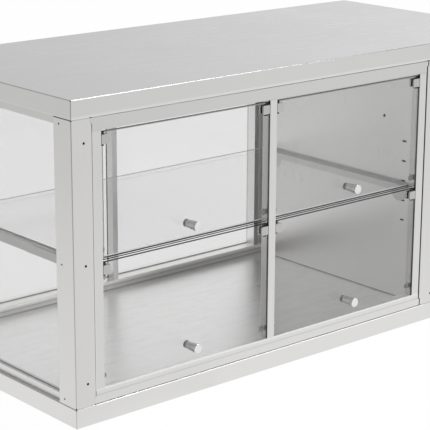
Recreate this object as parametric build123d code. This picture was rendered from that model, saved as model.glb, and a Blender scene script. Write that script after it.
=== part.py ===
from build123d import *
import os
from math import cos, radians, sin

# Countertop refrigerated display case, in millimetres.
# The origin is the middle of the plinth's underside. +X runs along the length towards the machine
# compartment, +Z is up, and the operator's side with the glass flaps faces -Y.

# Overall size
length = 1412.0
depth = 645.0
height = 700.0

# Sheet metal and clearances
sheet = 1.5
liner_sheet = 1.2
bend = 2.0
seam = 1.5
meet = 0.3
setback = 2.0

# Flat sides of the small round pieces that repeat
screw_sides = 8
bush_sides = 12
washer_sides = 16
tube_sides = 6

# Base and top
plinth_height = 42.0
hood_height = 40.0
return_flange = 14.0
floor_level = 47.0

# Corner posts and screws
post_width = 52.0
post_depth = 61.0
screw_hole = 6.0
screw_head = 5.4
screw_recess = 0.6
screw_depth = 7.0
side_screw_hole = 4.6
side_screw_head = 4.2
screw_inset = 31.0
side_screw_inset = 41.0
screw_end_margin = 50.0
side_screw_end_margin = 12.0

# Machine compartment
machine_length = 362.0
panel_gap = 3.2
panel_fold = 15.0
panel_screw_inset = 41.0
panel_screw_margin = 23.0

# Door frame
frame_depth = 25.0
frame_wall = 1.5
top_rail_height = 28.5
bottom_rail_height = 31.5
stile_width = 23.0
mullion_width = 21.0
ear_length = 4.0
ear_height = 12.0
sill_height = 17.0
sill_groove = 1.0
sill_lip = 4.0
sill_bevel = 1.2

# Glass flaps
glass = 6.0
flap_setback = 5.0
flap_side_gap = 2.0
flap_top_gap = 4.5
flap_mid_gap = 4.5
flap_bottom_gap = 1.5
axis_drop = 16.0
clamp_width = 19.0
clamp_height = 20.0
clamp_plate = 4.4
clamp_side_gap = 1.0
clamp_bend = 1.2
notch_width = 8.0
notch_below = 4.4
gasket_lip = 1.0
pin_diameter = 6.0
pin_clearance = 0.05
pin_reach = 8.0
bush_wall = 2.0
bush_rim = 0.6
bush_end = 1.1

# Knobs
knob_length = 34.0
knob_front_diameter = 22.0
knob_back_diameter = 17.5
knob_height = 37.5
knob_neck = 15.0
knob_rim = 2.0
knob_washer = 1.0
knob_screw_diameter = 4.0
knob_screw_head = 8.0
knob_screw_head_height = 2.6
knob_screw_reach = 14.0

# Flap stops
stop_diameter = 14.0
stop_height = 20.0
stop_sheet = 1.5
stop_tab_reach = 9.0
buffer_diameter = 11.0
buffer_height = 2.0

# Side and rear glazing
side_setback = 9.0
side_rail_width = 18.0
side_bottom_rail_top = 59.0
side_top_rail_height = 17.5
glass_slot = 8.0
slot_depth = 9.0
slot_wall = 3.0
seal_proud = 1.0
rear_setback = 9.0
rear_rail_width = 55.0
rear_bottom_rail_top = 70.0
rear_top_rail_height = 28.5
upright_width = 15.0
upright_depth = 27.0
upright_wall = 1.5
upright_margin = 11.0
upright_setback = 3.0

# Shelf
shelf_top = 349.5
shelf_glass = 6.0
shelf_front_margin = 40.0
shelf_depth = 516.0
shelf_side_gap = 6.0
shelf_rail_height = 22.0
shelf_rail_foot = 18.0
shelf_bracket_length = 157.0
shelf_bracket_slant = 30.0
hook_plate_radius = 25.0
hook_plate_drop = 24.0
slot_pitch = 50.0
slot_count = 5
slot_first = 250.0
slot_length = 13.0
slot_height = 4.6
slot_front = 67.0
slot_rear = 540.0
wall_hole = 8.0
wall_hole_places = ((45.0, 542.0), (137.0, 503.0))

# Cooling
coil_relief = 0.1
coil_tube = 8.0
coil_pitch = 75.0
coil_margin = 20.0
compressor_inset = 120.0
compressor_rear_inset = 190.0
compressor_diameter = 150.0
compressor_height = 185.0
compressor_lift = 12.0
compressor_foot_length = 190.0
compressor_foot_width = 105.0
compressor_foot_sheet = 3.0
compressor_dome = 20.0
compressor_rim = 5.0
compressor_rim_height = 6.0
rubber_foot_diameter = 20.0
stub_diameter = 9.0
stub_length = 12.0
condenser_inset = 110.0
condenser_front_inset = 215.0
condenser_width = 290.0
condenser_height = 240.0
condenser_depth = 44.0
condenser_lift = 12.0
condenser_tube_reach = 8.0
tube_rows = 3
fin_count = 12
fin_sheet = 0.8
fin_inset = 2.0
fan_diameter = 200.0
fan_tip_gap = 6.0
fan_blades = 5
blade_sheet = 1.6
blade_length = 46.0
blade_rise = 20.0
blade_crown = 6.0
blade_root_width = 26.0
blade_tip_width = 58.0
fan_hub_diameter = 50.0
fan_hub_length = 22.0
fan_hub_gap = 3.0
fan_ring = 1.5
fan_ring_depth = 40.0
fan_arm = 4.0
fan_arm_width = 12.0
motor_diameter = 80.0
motor_length = 52.0
shaft_diameter = 8.0
line_tube = 6.0
capillary_tube = 3.0
line_bend = 8.0
line_inset = 22.0
drier_inset = 60.0
drier_diameter = 22.0
drier_length = 90.0

# Louvres
louvre_length = 90.0
louvre_height = 10.0
louvre_pitch = 30.0
louvre_rows = 8
louvre_bulge = 7.0

# Controls in the machine compartment's front panel
control_drop = 140.0
control_spacing = 90.0
dial_diameter = 40.0
dial_height = 15.0
dial_skirt_diameter = 46.0
dial_skirt_height = 3.0
dial_grip_count = 12
dial_gap = 1.3
flute_diameter = 6.0
spindle_diameter = 6.0
collar_diameter = 11.4
collar_hole = 12.0
thermostat_width = 44.0
thermostat_depth = 32.0
switch_width = 30.0
switch_height = 22.0
switch_body_width = 26.0
switch_body_height = 18.0
switch_body_depth = 20.0
switch_wall = 2.0
bezel_height = 2.0
rocker_tilt = 10.0
rocker_pin = 2.0
rocker_pivot = 4.0
inlet_lift = 60.0
inlet_width = 48.0
inlet_height = 28.0
inlet_flange = 3.0
inlet_body_width = 32.0
inlet_body_height = 22.0
inlet_body_depth = 22.0
inlet_opening_width = 24.0
inlet_opening_height = 16.5
inlet_opening_depth = 17.0
blade_spacing = 7.0
blade_height = 6.0
blade_width = 2.0

# Places worked out from the sizes above
left, right = -length / 2, length / 2
front, rear = -depth / 2, depth / 2
body_bottom = plinth_height + seam
hood_bottom = height - hood_height
body_top = hood_bottom - seam
wall_x = right - machine_length
frame_left = left + post_width + meet
panel_left = wall_x - meet
frame_right = panel_left - panel_gap
opening_width = (frame_right - frame_left - 2 * stile_width - mullion_width) / 2
opening_left = [
    frame_left + stile_width,
    frame_left + stile_width + opening_width + mullion_width,
]
opening_bottom = body_bottom + bottom_rail_height
opening_top = body_top - top_rail_height
frame_back = front + frame_depth
glass_front = front + flap_setback
glass_back = glass_front + glass
axis_y = front + flap_setback + glass / 2
flap_height = (opening_top - opening_bottom - flap_top_gap - flap_mid_gap - flap_bottom_gap) / 2
flap_top = {
    "upper": opening_top - flap_top_gap,
    "lower": opening_bottom + flap_bottom_gap + flap_height,
}
rear_outer = rear - rear_setback
rear_inner = rear_outer - rear_rail_width
upright_front = rear_inner + upright_setback
rear_slot = upright_front + upright_depth
side_outer = left + side_setback
side_inner = side_outer + side_rail_width
post_inner_y = [front + post_depth, rear - post_depth]
machine_x = (wall_x + right - post_width) / 2
control_height = height - control_drop
switch_z = control_height - control_spacing
dial_back = front - dial_gap
inlet_z = plinth_height + inlet_lift
compressor_x, compressor_y = wall_x + compressor_inset, rear - compressor_rear_inset
condenser_x, condenser_y = right - condenser_inset, front + condenser_front_inset
condenser_bottom = plinth_height + condenser_lift
fan_z = condenser_bottom + condenser_height / 2
fan_front = condenser_x - meet - fan_ring_depth


def block(x0, x1, y0, y1, z0, z1):
    """A box between two corners."""
    return Pos((x0 + x1) / 2, (y0 + y1) / 2, (z0 + z1) / 2) * Box(x1 - x0, y1 - y0, z1 - z0)


def along_x(profile, x0, x1):
    """A profile drawn in Y and Z, carried from x0 to x1."""
    return extrude(Plane.YZ.offset(x0) * profile, amount=x1 - x0)


def along_y(profile, y0, y1):
    """A profile drawn in X and Z, carried from y0 to y1."""
    return extrude(Plane.XZ.offset(-y1) * profile, amount=y1 - y0)


def along_z(profile, z0, z1):
    """A profile drawn in X and Y, carried from z0 to z1."""
    return extrude(Plane.XY.offset(z0) * profile, amount=z1 - z0)


def folded(points, thickness, side=Side.RIGHT, radius=1.0):
    """The section of a sheet bent along points, with its thickness on the given side of them."""
    return make_face(offset(FilletPolyline(*points, radius=radius), amount=thickness, side=side))


def rectangle(x0, x1, y0, y1):
    """A flat rectangle between two corners."""
    return Pos((x0 + x1) / 2, (y0 + y1) / 2) * Rectangle(x1 - x0, y1 - y0)


def rounded_rectangle(x0, x1, y0, y1, radius):
    """A flat rectangle with round corners between two corners."""
    return Pos((x0 + x1) / 2, (y0 + y1) / 2) * RectangleRounded(x1 - x0, y1 - y0, radius)


def rod_x(x0, x1, y, z, diameter):
    """A round bar along X."""
    return along_x(Pos(y, z) * Circle(diameter / 2), x0, x1)


def rod_y(y0, y1, x, z, diameter):
    """A round bar along Y."""
    return along_y(Pos(x, z) * Circle(diameter / 2), y0, y1)


def rod_z(z0, z1, x, y, diameter):
    """A round bar along Z."""
    return along_z(Pos(x, y) * Circle(diameter / 2), z0, z1)


def polygon_x(x0, x1, y, z, diameter, sides):
    """A bar along X with a few flat sides."""
    return along_x(Pos(y, z) * RegularPolygon(diameter / 2, sides), x0, x1)


def polygon_y(y0, y1, x, z, diameter, sides):
    """A bar along Y with a few flat sides."""
    return along_y(Pos(x, z) * RegularPolygon(diameter / 2, sides), y0, y1)


def tube_section(diameter):
    """Section of a drawn tube, with few enough sides for its many bends."""
    return Rot(0, 0, 180 / tube_sides) * RegularPolygon(diameter / 2, tube_sides)


def lid(x0, x1, y0, y1, z0, z1):
    """A folded lid, open below, with rounded top and corner edges and a return flange."""
    outer = block(x0, x1, y0, y1, z0, z1)
    outer = fillet(outer.edges().filter_by(Axis.Z) + outer.faces().sort_by(Axis.Z)[-1].edges(), bend)
    inner = block(x0 + sheet, x1 - sheet, y0 + sheet, y1 - sheet, z0, z1 - sheet)
    reach = sheet + return_flange
    ring = block(x0 + sheet, x1 - sheet, y0 + sheet, y1 - sheet, z0, z0 + sheet)
    ring -= block(x0 + reach, x1 - reach, y0 + reach, y1 - reach, z0, z0 + sheet)
    return outer - inner + ring


def make_plinth():
    """Folded tray upside down: skirt, return flange below and a top sheet with the well's opening."""
    tray = lid(left, right, front, rear, 0, plinth_height)
    return tray - block(
        left + post_width + setback, wall_x - setback,
        post_inner_y[0] + setback, post_inner_y[1] - setback,
        plinth_height - 2 * sheet, plinth_height + sheet,
    )


def make_bottom_pan():
    """Pressed sheet that closes the base: its rim lies on the plinth's return flange, its middle is flush."""
    rim = inset_block(sheet + bend, sheet, 2 * sheet)
    step = sheet + return_flange + meet
    return rim - inset_block(step + sheet, sheet, 2 * sheet) + inset_block(step, 0, sheet)


def inset_block(inset, z0, z1):
    """A box that stands back from the case's four sides."""
    return block(left + inset, right - inset, front + inset, rear - inset, z0, z1)


def make_base_insulation():
    """Foam slab under the well, with a shallow pocket for the evaporator tube."""
    high = plinth_height - sheet - meet
    step = 2 * sheet + return_flange + meet
    slab = inset_block(sheet + bend, 2 * sheet, high) + inset_block(step, sheet, 2 * sheet)
    slab -= block(wall_x, right, front, rear, 0, plinth_height)
    pocket_floor = floor_level - liner_sheet - coil_tube - 2 * coil_relief
    pocket = block(
        left + post_width + 2 * setback, wall_x - 2 * setback,
        post_inner_y[0] + 2 * setback, post_inner_y[1] - 2 * setback,
        pocket_floor, high,
    )
    return slab - pocket


def make_evaporator_coil():
    """Serpentine tube under the well floor, with both of its ends towards the machine compartment."""
    radius = coil_pitch / 2
    x0 = left + post_width + coil_margin + radius
    x1 = wall_x - coil_margin - radius
    y0 = post_inner_y[0] + coil_margin
    runs = int((post_inner_y[1] - coil_margin - y0) / coil_pitch) + 1
    z = floor_level - liner_sheet - coil_relief - coil_tube / 2
    edges = []
    for run in range(runs):
        y = y0 + run * coil_pitch
        start, end = (x1, x0) if run % 2 == 0 else (x0, x1)
        edges.append(Line((start, y, z), (end, y, z)))
        if run < runs - 1:
            middle = end - radius if run % 2 == 0 else end + radius
            edges.append(ThreePointArc((end, y, z), (middle, y + radius, z), (end, y + coil_pitch, z)))
    path = Wire(edges)
    return sweep(Plane(origin=path @ 0, z_dir=path % 0) * tube_section(coil_tube), path=path)


def make_well_floor():
    """Flat floor panel with its edges folded down and its left corners notched round the posts."""
    x0, x1 = side_inner + meet, wall_x - meet
    y0, y1 = frame_back + meet, rear_inner - meet
    outline = rectangle(x0, x1, y0, y1)
    for post_y0, post_y1 in ((front, post_inner_y[0]), (post_inner_y[1], rear)):
        outline -= rectangle(left, left + post_width + meet, post_y0 - meet, post_y1 + meet)
    panel = along_z(outline, plinth_height, floor_level)
    under = floor_level - liner_sheet
    return panel - along_z(offset(outline, amount=-liner_sheet), plinth_height, under)


def make_post(x_side, y_side):
    """Closed box post at the corner given by the signs of its X and Y, set back at its foot and head."""
    x0 = left if x_side < 0 else right - post_width
    y0 = front if y_side < 0 else rear - post_depth
    x1, y1 = x0 + post_width, y0 + post_depth
    outline = rounded_rectangle(x0, x1, y0, y1, bend)
    cavity = rectangle(x0 + sheet, x1 - sheet, y0 + sheet, y1 - sheet)
    pad = rectangle(x0 + setback, x1 - setback, y0 + setback, y1 - setback)
    post = along_z(outline, body_bottom, body_top) - along_z(cavity, body_bottom + sheet, body_top - sheet)
    post += along_z(pad, plinth_height, body_bottom) + along_z(pad, body_top, hood_bottom)
    for x, y, z in face_screws(x_side, y_side):
        post -= polygon_y(y - 2 * sheet, y + 2 * sheet, x, z, screw_hole, screw_sides)
    for x, y, z in side_screws(x_side, y_side):
        post -= polygon_x(x - 2 * sheet, x + 2 * sheet, y, z, side_screw_hole, screw_sides)
    return post


def face_screws(x_side, y_side):
    """Places of the three screws in the front or rear face of a corner post."""
    low, high = body_bottom + screw_end_margin, body_top - screw_end_margin
    x = x_side * (length / 2 - screw_inset)
    return [(x, y_side * depth / 2, z) for z in (low, (low + high) / 2, high)]


def side_screws(x_side, y_side):
    """Places of the three screws in the end face of a corner post."""
    low, high = body_bottom + side_screw_end_margin, body_top - side_screw_end_margin
    y = y_side * (depth / 2 - side_screw_inset)
    return [(x_side * length / 2, y, z) for z in (low, (low + high) / 2, high)]


def make_front_left_post():
    """Corner post beside the door frame, notched for the ears of the frame's rails."""
    post = make_post(-1, -1)
    x0 = frame_left - ear_length - meet
    y1 = frame_back + meet
    post -= block(x0, frame_left, front, y1, plinth_height, body_bottom + sill_height + meet)
    return post - block(x0, frame_left, front, y1, body_top - ear_height - meet, hood_bottom)


def box_section(y0, y1, z0, z1):
    """Section of a horizontal box member with rounded corners, in Y and Z."""
    inner = rectangle(y0 + frame_wall, y1 - frame_wall, z0 + frame_wall, z1 - frame_wall)
    return rounded_rectangle(y0, y1, z0, z1, bend / 2) - inner


def make_door_top_rail():
    """Top rail of the door frame, with an ear at each end under the hood."""
    ends = ((frame_left - ear_length, frame_left), (frame_right, frame_right + ear_length))
    rail = along_x(box_section(front, frame_back, opening_top, body_top), ends[0][0], ends[1][1])
    for x0, x1 in ends:
        rail -= block(x0, x1, front, frame_back, opening_top, body_top - ear_height)
    spacer = block(frame_left, frame_right, front + setback, frame_back - setback, body_top, hood_bottom)
    return rail + spacer


def make_door_bottom_rail():
    """Bottom rail of the door frame: a sill with an ear at each end, a shadow groove and a sloping lip."""
    sill_top = body_bottom + sill_height
    ends = ((frame_left - ear_length, frame_left), (frame_right, frame_right + ear_length))
    slope = make_face(Polyline(
        (front, opening_bottom - sill_lip),
        (front + sill_bevel, opening_bottom),
        (front, opening_bottom),
        close=True,
    ))
    section = box_section(front, frame_back, body_bottom, opening_bottom) - slope
    rail = along_x(section, ends[0][0], ends[1][1])
    for x0, x1 in ends:
        rail -= block(x0, x1, front, frame_back, sill_top, opening_bottom)
    rail -= block(frame_left, frame_right, front, front + sill_groove, sill_top, sill_top + sill_groove)
    spacer = block(frame_left, frame_right, front + setback, frame_back - setback, plinth_height, body_bottom)
    return rail + spacer


def upright_member(x0, x1, hinge_ways):
    """Upright of the door frame, a box section with a hole for each bush in the faces that carry hinges."""
    section = rounded_rectangle(x0, x1, front, frame_back, bend / 2)
    section -= rectangle(x0 + frame_wall, x1 - frame_wall, front + frame_wall, frame_back - frame_wall)
    member = along_z(section, opening_bottom, opening_top)
    hole = pin_diameter + 2 * (pin_clearance + bush_wall)
    for way in hinge_ways:
        face = x1 if way > 0 else x0
        ends = sorted((face + way * sheet, face - way * 2 * sheet))
        for top in flap_top.values():
            member -= polygon_x(ends[0], ends[1], axis_y, top - axis_drop, hole, bush_sides)
    return member


def make_door_left_stile():
    """Left upright of the door frame."""
    return upright_member(frame_left, frame_left + stile_width, [1])


def make_door_right_stile():
    """Right upright of the door frame."""
    return upright_member(frame_right - stile_width, frame_right, [-1])


def make_door_mullion():
    """Middle upright of the door frame, between the two pairs of flaps."""
    x0 = opening_left[0] + opening_width
    return upright_member(x0, x0 + mullion_width, [-1, 1])


def hinge_corners():
    """The frame's face, the way into the opening and the axis height at each flap's upper corners."""
    for opening_x0 in opening_left:
        for top in flap_top.values():
            yield opening_x0, 1, top - axis_drop
            yield opening_x0 + opening_width, -1, top - axis_drop


def make_hinge_bushes():
    """Nylon bushes that stand a little proud of the uprights, which the hinge pins turn in."""
    outer = pin_diameter + 2 * (pin_clearance + bush_wall)
    bore = pin_diameter + 2 * pin_clearance
    bushes = []
    for face, inward, z in hinge_corners():
        barrel_x = sorted((face + inward * bush_rim, face - inward * (pin_reach - clamp_side_gap + bush_end)))
        hole_x = sorted((face + inward * bush_rim, face - inward * (pin_reach - clamp_side_gap + meet)))
        barrel = polygon_x(barrel_x[0], barrel_x[1], axis_y, z, outer, bush_sides)
        bushes.append(barrel - rod_x(hole_x[0], hole_x[1], axis_y, z, bore))
    return Compound(bushes)


def flap_span(opening_x0):
    """Left and right edges of a flap's glass."""
    return opening_x0 + flap_side_gap, opening_x0 + opening_width - flap_side_gap


def knob_place(opening_x0, top):
    """Centre of a flap's knob."""
    return opening_x0 + opening_width / 2, top - flap_height + knob_height


def make_flap_glass(opening_x0, top):
    """Glass pane with its upper corners cut out for the clamps and a hole for the knob."""
    x0, x1 = flap_span(opening_x0)
    notch_bottom = top - axis_drop - clamp_height / 2 - notch_below
    pane = rectangle(x0, x1, top - flap_height, top)
    pane -= rectangle(x0, x0 + notch_width, notch_bottom, top)
    pane -= rectangle(x1 - notch_width, x1, notch_bottom, top)
    knob_x, knob_z = knob_place(opening_x0, top)
    pane -= Pos(knob_x, knob_z) * Circle(knob_screw_diameter / 2 + 1)
    return along_y(pane, glass_front, glass_back)


def make_flap_fittings(opening_x0, top):
    """The two hinge clamps with their pins, and the knob's screw."""
    pieces = []
    z = top - axis_drop
    z0, z1 = z - clamp_height / 2, z + clamp_height / 2
    for face, inward in ((opening_x0, 1), (opening_x0 + opening_width, -1)):
        outer = face + inward * clamp_side_gap
        inner = outer + inward * clamp_width
        core = face + inward * (flap_side_gap + notch_width - gasket_lip)
        plate_x = sorted((outer, inner))
        core_x = sorted((outer, core))
        plate = rectangle(plate_x[0], plate_x[1], z0, z1)
        plate = chamfer(plate.vertices(), clamp_bend)
        clamp = along_y(plate, glass_front - clamp_plate, glass_front)
        clamp += along_y(plate, glass_back, glass_back + clamp_plate)
        clamp += along_y(rectangle(core_x[0], core_x[1], z0, z1), glass_front, glass_back)
        pin_x = sorted((outer, outer - inward * pin_reach))
        pieces.append(clamp + rod_x(pin_x[0], pin_x[1], axis_y, z, pin_diameter))
    knob_x, knob_z = knob_place(opening_x0, top)
    head_y = glass_back + knob_washer
    screw = rod_y(head_y - knob_screw_reach, head_y, knob_x, knob_z, knob_screw_diameter)
    head_end = head_y + knob_screw_head_height
    head = polygon_y(head_y, head_end, knob_x, knob_z, knob_screw_head, screw_sides)
    pieces.append(screw + head)
    return Compound(pieces)


def make_flap_gaskets(opening_x0, top):
    """Black gaskets in the glass's cut-outs, wrapped round the clamps' cores, and the knob's washers."""
    pieces = []
    z = top - axis_drop
    notch_bottom = z - clamp_height / 2 - notch_below
    for edge, inward in zip(flap_span(opening_x0), (1, -1)):
        lip = edge + inward * notch_width
        core = lip - inward * gasket_lip
        full_x = sorted((edge, lip))
        core_x = sorted((edge, core))
        gasket = rectangle(full_x[0], full_x[1], notch_bottom, top)
        gasket -= rectangle(core_x[0], core_x[1], z - clamp_height / 2, z + clamp_height / 2)
        pieces.append(along_y(gasket, glass_front, glass_back))
    knob_x, knob_z = knob_place(opening_x0, top)
    hole = knob_screw_diameter
    for y0 in (glass_front - knob_washer, glass_back):
        washer = polygon_y(y0, y0 + knob_washer, knob_x, knob_z, knob_back_diameter, washer_sides)
        pieces.append(washer - rod_y(y0, y0 + knob_washer, knob_x, knob_z, hole))
    return Compound(pieces)


def make_knob(opening_x0, top):
    """Turned knob: a neck, a cone up to its rim and a flat face, bored from behind for its screw."""
    knob_x, knob_z = knob_place(opening_x0, top)
    back, face = knob_back_diameter / 2, knob_front_diameter / 2
    rim, chamfered = knob_length - knob_rim, knob_rim / 2
    outline = Wire([
        Line((0, 0), (back, 0)),
        Line((back, 0), (back, knob_neck)),
        Line((back, knob_neck), (face, rim)),
        Line((face, rim), (face, knob_length - chamfered)),
        Line((face, knob_length - chamfered), (face - chamfered, knob_length)),
        Line((face - chamfered, knob_length), (0, knob_length)),
        Line((0, knob_length), (0, 0)),
    ])
    turned = revolve(make_face(outline), axis=Axis.Y)
    bore_depth = knob_screw_reach - glass - 2 * knob_washer
    turned -= Pos(0, bore_depth / 2, 0) * Rot(90, 0, 0) * Cylinder(knob_screw_diameter / 2, bore_depth)
    return Pos(knob_x, glass_front - knob_washer, knob_z) * Rot(0, 0, 180) * turned


def stop_places():
    """Centre and inward way of each round flap stop at the flaps' lower corners."""
    for opening_x0 in opening_left:
        for top in flap_top.values():
            z = top - flap_height + stop_height
            yield opening_x0, 1, z
            yield opening_x0 + opening_width, -1, z


def make_flap_stops():
    """Round stop tabs bent out of strips that are fixed along the uprights."""
    tabs = []
    y0 = glass_back + buffer_height + meet
    for face, inward, z in stop_places():
        centre = face + inward * stop_diameter / 2
        foot_x = sorted((face, face + inward * stop_sheet))
        reach_x = sorted((face, centre))
        z0, z1 = z - stop_diameter / 2, z + stop_diameter / 2
        profile = Pos(centre, z) * Circle(stop_diameter / 2) + rectangle(reach_x[0], reach_x[1], z0, z1)
        tab = along_y(profile, y0, y0 + stop_sheet)
        tab += block(foot_x[0], foot_x[1], y0, y0 + stop_tab_reach, z0, z1)
        tabs.append(tab)
    return Compound(tabs)


def make_flap_buffers():
    """Rubber buffers on the stops, which the closed flaps rest on."""
    y1 = glass_back + buffer_height + meet
    buffers = []
    for face, inward, z in stop_places():
        centre = face + inward * stop_diameter / 2
        buffers.append(polygon_y(y1 - buffer_height, y1, centre, z, buffer_diameter, washer_sides))
    return Compound(buffers)


def slotted_rail(x0, x1, z0, z1, slot_x0, up):
    """Section of a folded rail with a slot for the glass in its upper or lower side, in X and Z."""
    section = rounded_rectangle(x0, x1, z0, z1, bend / 2)
    section -= rectangle(x0 + sheet, x1 - sheet, z0 + sheet, z1 - sheet)
    slot_z = (z1 - slot_depth, z1) if up else (z0, z0 + slot_depth)
    channel_z = (slot_z[0] - sheet, z1) if up else (z0, slot_z[1] + sheet)
    section += rectangle(slot_x0 - sheet, slot_x0 + glass_slot + sheet, channel_z[0], channel_z[1])
    return section - rectangle(slot_x0, slot_x0 + glass_slot, slot_z[0], slot_z[1])


def make_side_rails():
    """Bottom and top rail of the left end's glazing, between the corner posts."""
    slot_x0 = side_outer + slot_wall
    bottom = slotted_rail(side_outer, side_inner, body_bottom, side_bottom_rail_top, slot_x0, True)
    top_z0 = body_top - side_top_rail_height
    top = slotted_rail(side_outer, side_inner, top_z0, body_top, slot_x0, False)
    y0, y1 = post_inner_y
    foot = block(side_outer + setback, side_inner - setback, y0, y1, plinth_height, body_bottom)
    head = block(side_outer + setback, side_inner - setback, y0, y1, body_top, hood_bottom)
    return Compound([along_y(bottom, y0, y1) + foot, along_y(top, y0, y1) + head])


def make_side_glass():
    """Fixed pane of the left end, which stands in the rails' slots."""
    x0 = side_outer + slot_wall + (glass_slot - glass) / 2
    z0 = side_bottom_rail_top - slot_depth
    z1 = body_top - side_top_rail_height + slot_depth - meet
    return block(x0, x0 + glass, post_inner_y[0] + meet, post_inner_y[1] - meet, z0, z1)


def make_rear_rails():
    """Bottom and top rail of the rear glazing, between the rear left post and the partition wall."""
    x0, x1 = left + post_width + meet, wall_x - meet
    top_z0 = body_top - rear_top_rail_height
    bottom = slotted_rail(rear_inner, rear_outer, body_bottom, rear_bottom_rail_top, rear_slot, True)
    top = slotted_rail(rear_inner, rear_outer, top_z0, body_top, rear_slot, False)
    foot = block(x0, x1, rear_inner + setback, rear_outer - setback, plinth_height, body_bottom)
    head = block(x0, x1, rear_inner + setback, rear_outer - setback, body_top, hood_bottom)
    return Compound([along_x(bottom, x0, x1) + foot, along_x(top, x0, x1) + head])


def upright_places():
    """Left edges of the three rear uprights, in line with the door frame's stiles and mullion."""
    x_last = wall_x - upright_margin - upright_width
    x_first = left + post_width + upright_margin
    return [x_first, (x_first + x_last) / 2, x_last]


def make_rear_uprights():
    """Slim box uprights in front of the rear glass, between the rear rails."""
    uprights = []
    for x0 in upright_places():
        x1 = x0 + upright_width
        section = rounded_rectangle(x0, x1, upright_front, rear_slot, upright_wall / 2)
        section -= rectangle(
            x0 + upright_wall, x1 - upright_wall, upright_front + upright_wall, rear_slot - upright_wall
        )
        uprights.append(along_z(section, rear_bottom_rail_top, body_top - rear_top_rail_height))
    return Compound(uprights)


def make_rear_glass():
    """Fixed pane of the rear, standing in the rear rails' slots behind the uprights."""
    y0 = rear_slot + (glass_slot - glass) / 2
    z0 = rear_bottom_rail_top - slot_depth
    z1 = body_top - rear_top_rail_height + slot_depth - meet
    return block(left + post_width + meet, wall_x - meet, y0, y0 + glass, z0, z1)


def make_glazing_seals():
    """Silicone strips on both sides of each fixed pane, standing a little proud of the rails."""
    strip = (glass_slot - glass) / 2
    hold = slot_depth / 2
    strips = []
    side_low, side_high = side_bottom_rail_top, body_top - side_top_rail_height
    for z0, z1 in ((side_low - hold, side_low + seal_proud), (side_high - seal_proud, side_high + hold)):
        for x0 in (side_outer + slot_wall, side_outer + slot_wall + strip + glass):
            strips.append(block(x0, x0 + strip, post_inner_y[0] + meet, post_inner_y[1] - meet, z0, z1))
    rear_low, rear_high = rear_bottom_rail_top, body_top - rear_top_rail_height
    for z0, z1 in ((rear_low - hold, rear_low + seal_proud), (rear_high - seal_proud, rear_high + hold)):
        for y0 in (rear_slot, rear_slot + strip + glass):
            strips.append(block(left + post_width + meet, wall_x - meet, y0, y0 + strip, z0, z1))
    return Compound(strips)


def make_partition_wall():
    """Right wall of the well, with folded edges, shelf slots and fixing holes."""
    y0, y1 = frame_back + meet, rear - panel_fold - meet
    points = [
        (wall_x + panel_fold, y0),
        (wall_x, y0),
        (wall_x, y1),
        (wall_x + panel_fold, y1),
    ]
    wall = along_z(folded(points, sheet, side=Side.RIGHT), body_bottom, body_top)
    x0, x1 = wall_x - sheet, wall_x + 2 * sheet
    for slot_y in (front + slot_front, front + slot_rear):
        for index in range(slot_count):
            z = slot_first + index * slot_pitch
            wall -= along_x(Pos(slot_y, z) * Rectangle(slot_length, slot_height), x0, x1)
    for hole_y, hole_z in wall_hole_places:
        wall -= rod_x(x0, x1, front + hole_y, hole_z, wall_hole)
    x1 = wall_x + panel_fold
    for z0, z1 in ((body_bottom, body_bottom + sheet), (body_top - sheet, body_top)):
        wall += block(wall_x + sheet / 2, x1, y0 + sheet / 2, y1 - sheet / 2, z0, z1)
    for z0, z1 in ((plinth_height, body_bottom), (body_top, hood_bottom)):
        wall += block(wall_x + setback, x1, y0 + setback, y1 - setback, z0, z1)
    return wall


def make_partition_insulation():
    """Sheet of black foam glued to the back of the partition wall, inside its folded edges."""
    y0, y1 = frame_back + 2 * meet + sheet, rear - panel_fold - 2 * meet - sheet
    z0, z1 = body_bottom + sheet + meet, body_top - sheet - meet
    return block(wall_x + sheet, wall_x + panel_fold, y0, y1, z0, z1)


def make_hood():
    """Folded lid that covers the whole case."""
    return lid(left, right, front, rear, hood_bottom, height)


def make_ceiling_liner():
    """Ceiling panel with its edges folded up inside the hood, lying on the posts and rails."""
    inset = sheet + return_flange + meet
    x0, x1, y0, y1 = left + inset, right - inset, front + inset, rear - inset
    outline = rectangle(x0, x1, y0, y1)
    panel = along_z(outline, hood_bottom, hood_bottom + panel_fold)
    inside = offset(outline, amount=-liner_sheet, kind=Kind.INTERSECTION)
    return panel - along_z(inside, hood_bottom + liner_sheet, hood_bottom + panel_fold)


def make_shelf_glass():
    """Glass shelf with rounded corners, lying on the rails at its two ends."""
    x0 = left + post_width + shelf_side_gap
    x1 = wall_x - shelf_side_gap
    y0 = front + shelf_front_margin
    return along_z(rounded_rectangle(x0, x1, y0, y0 + shelf_depth, bend), shelf_top - shelf_glass, shelf_top)


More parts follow.
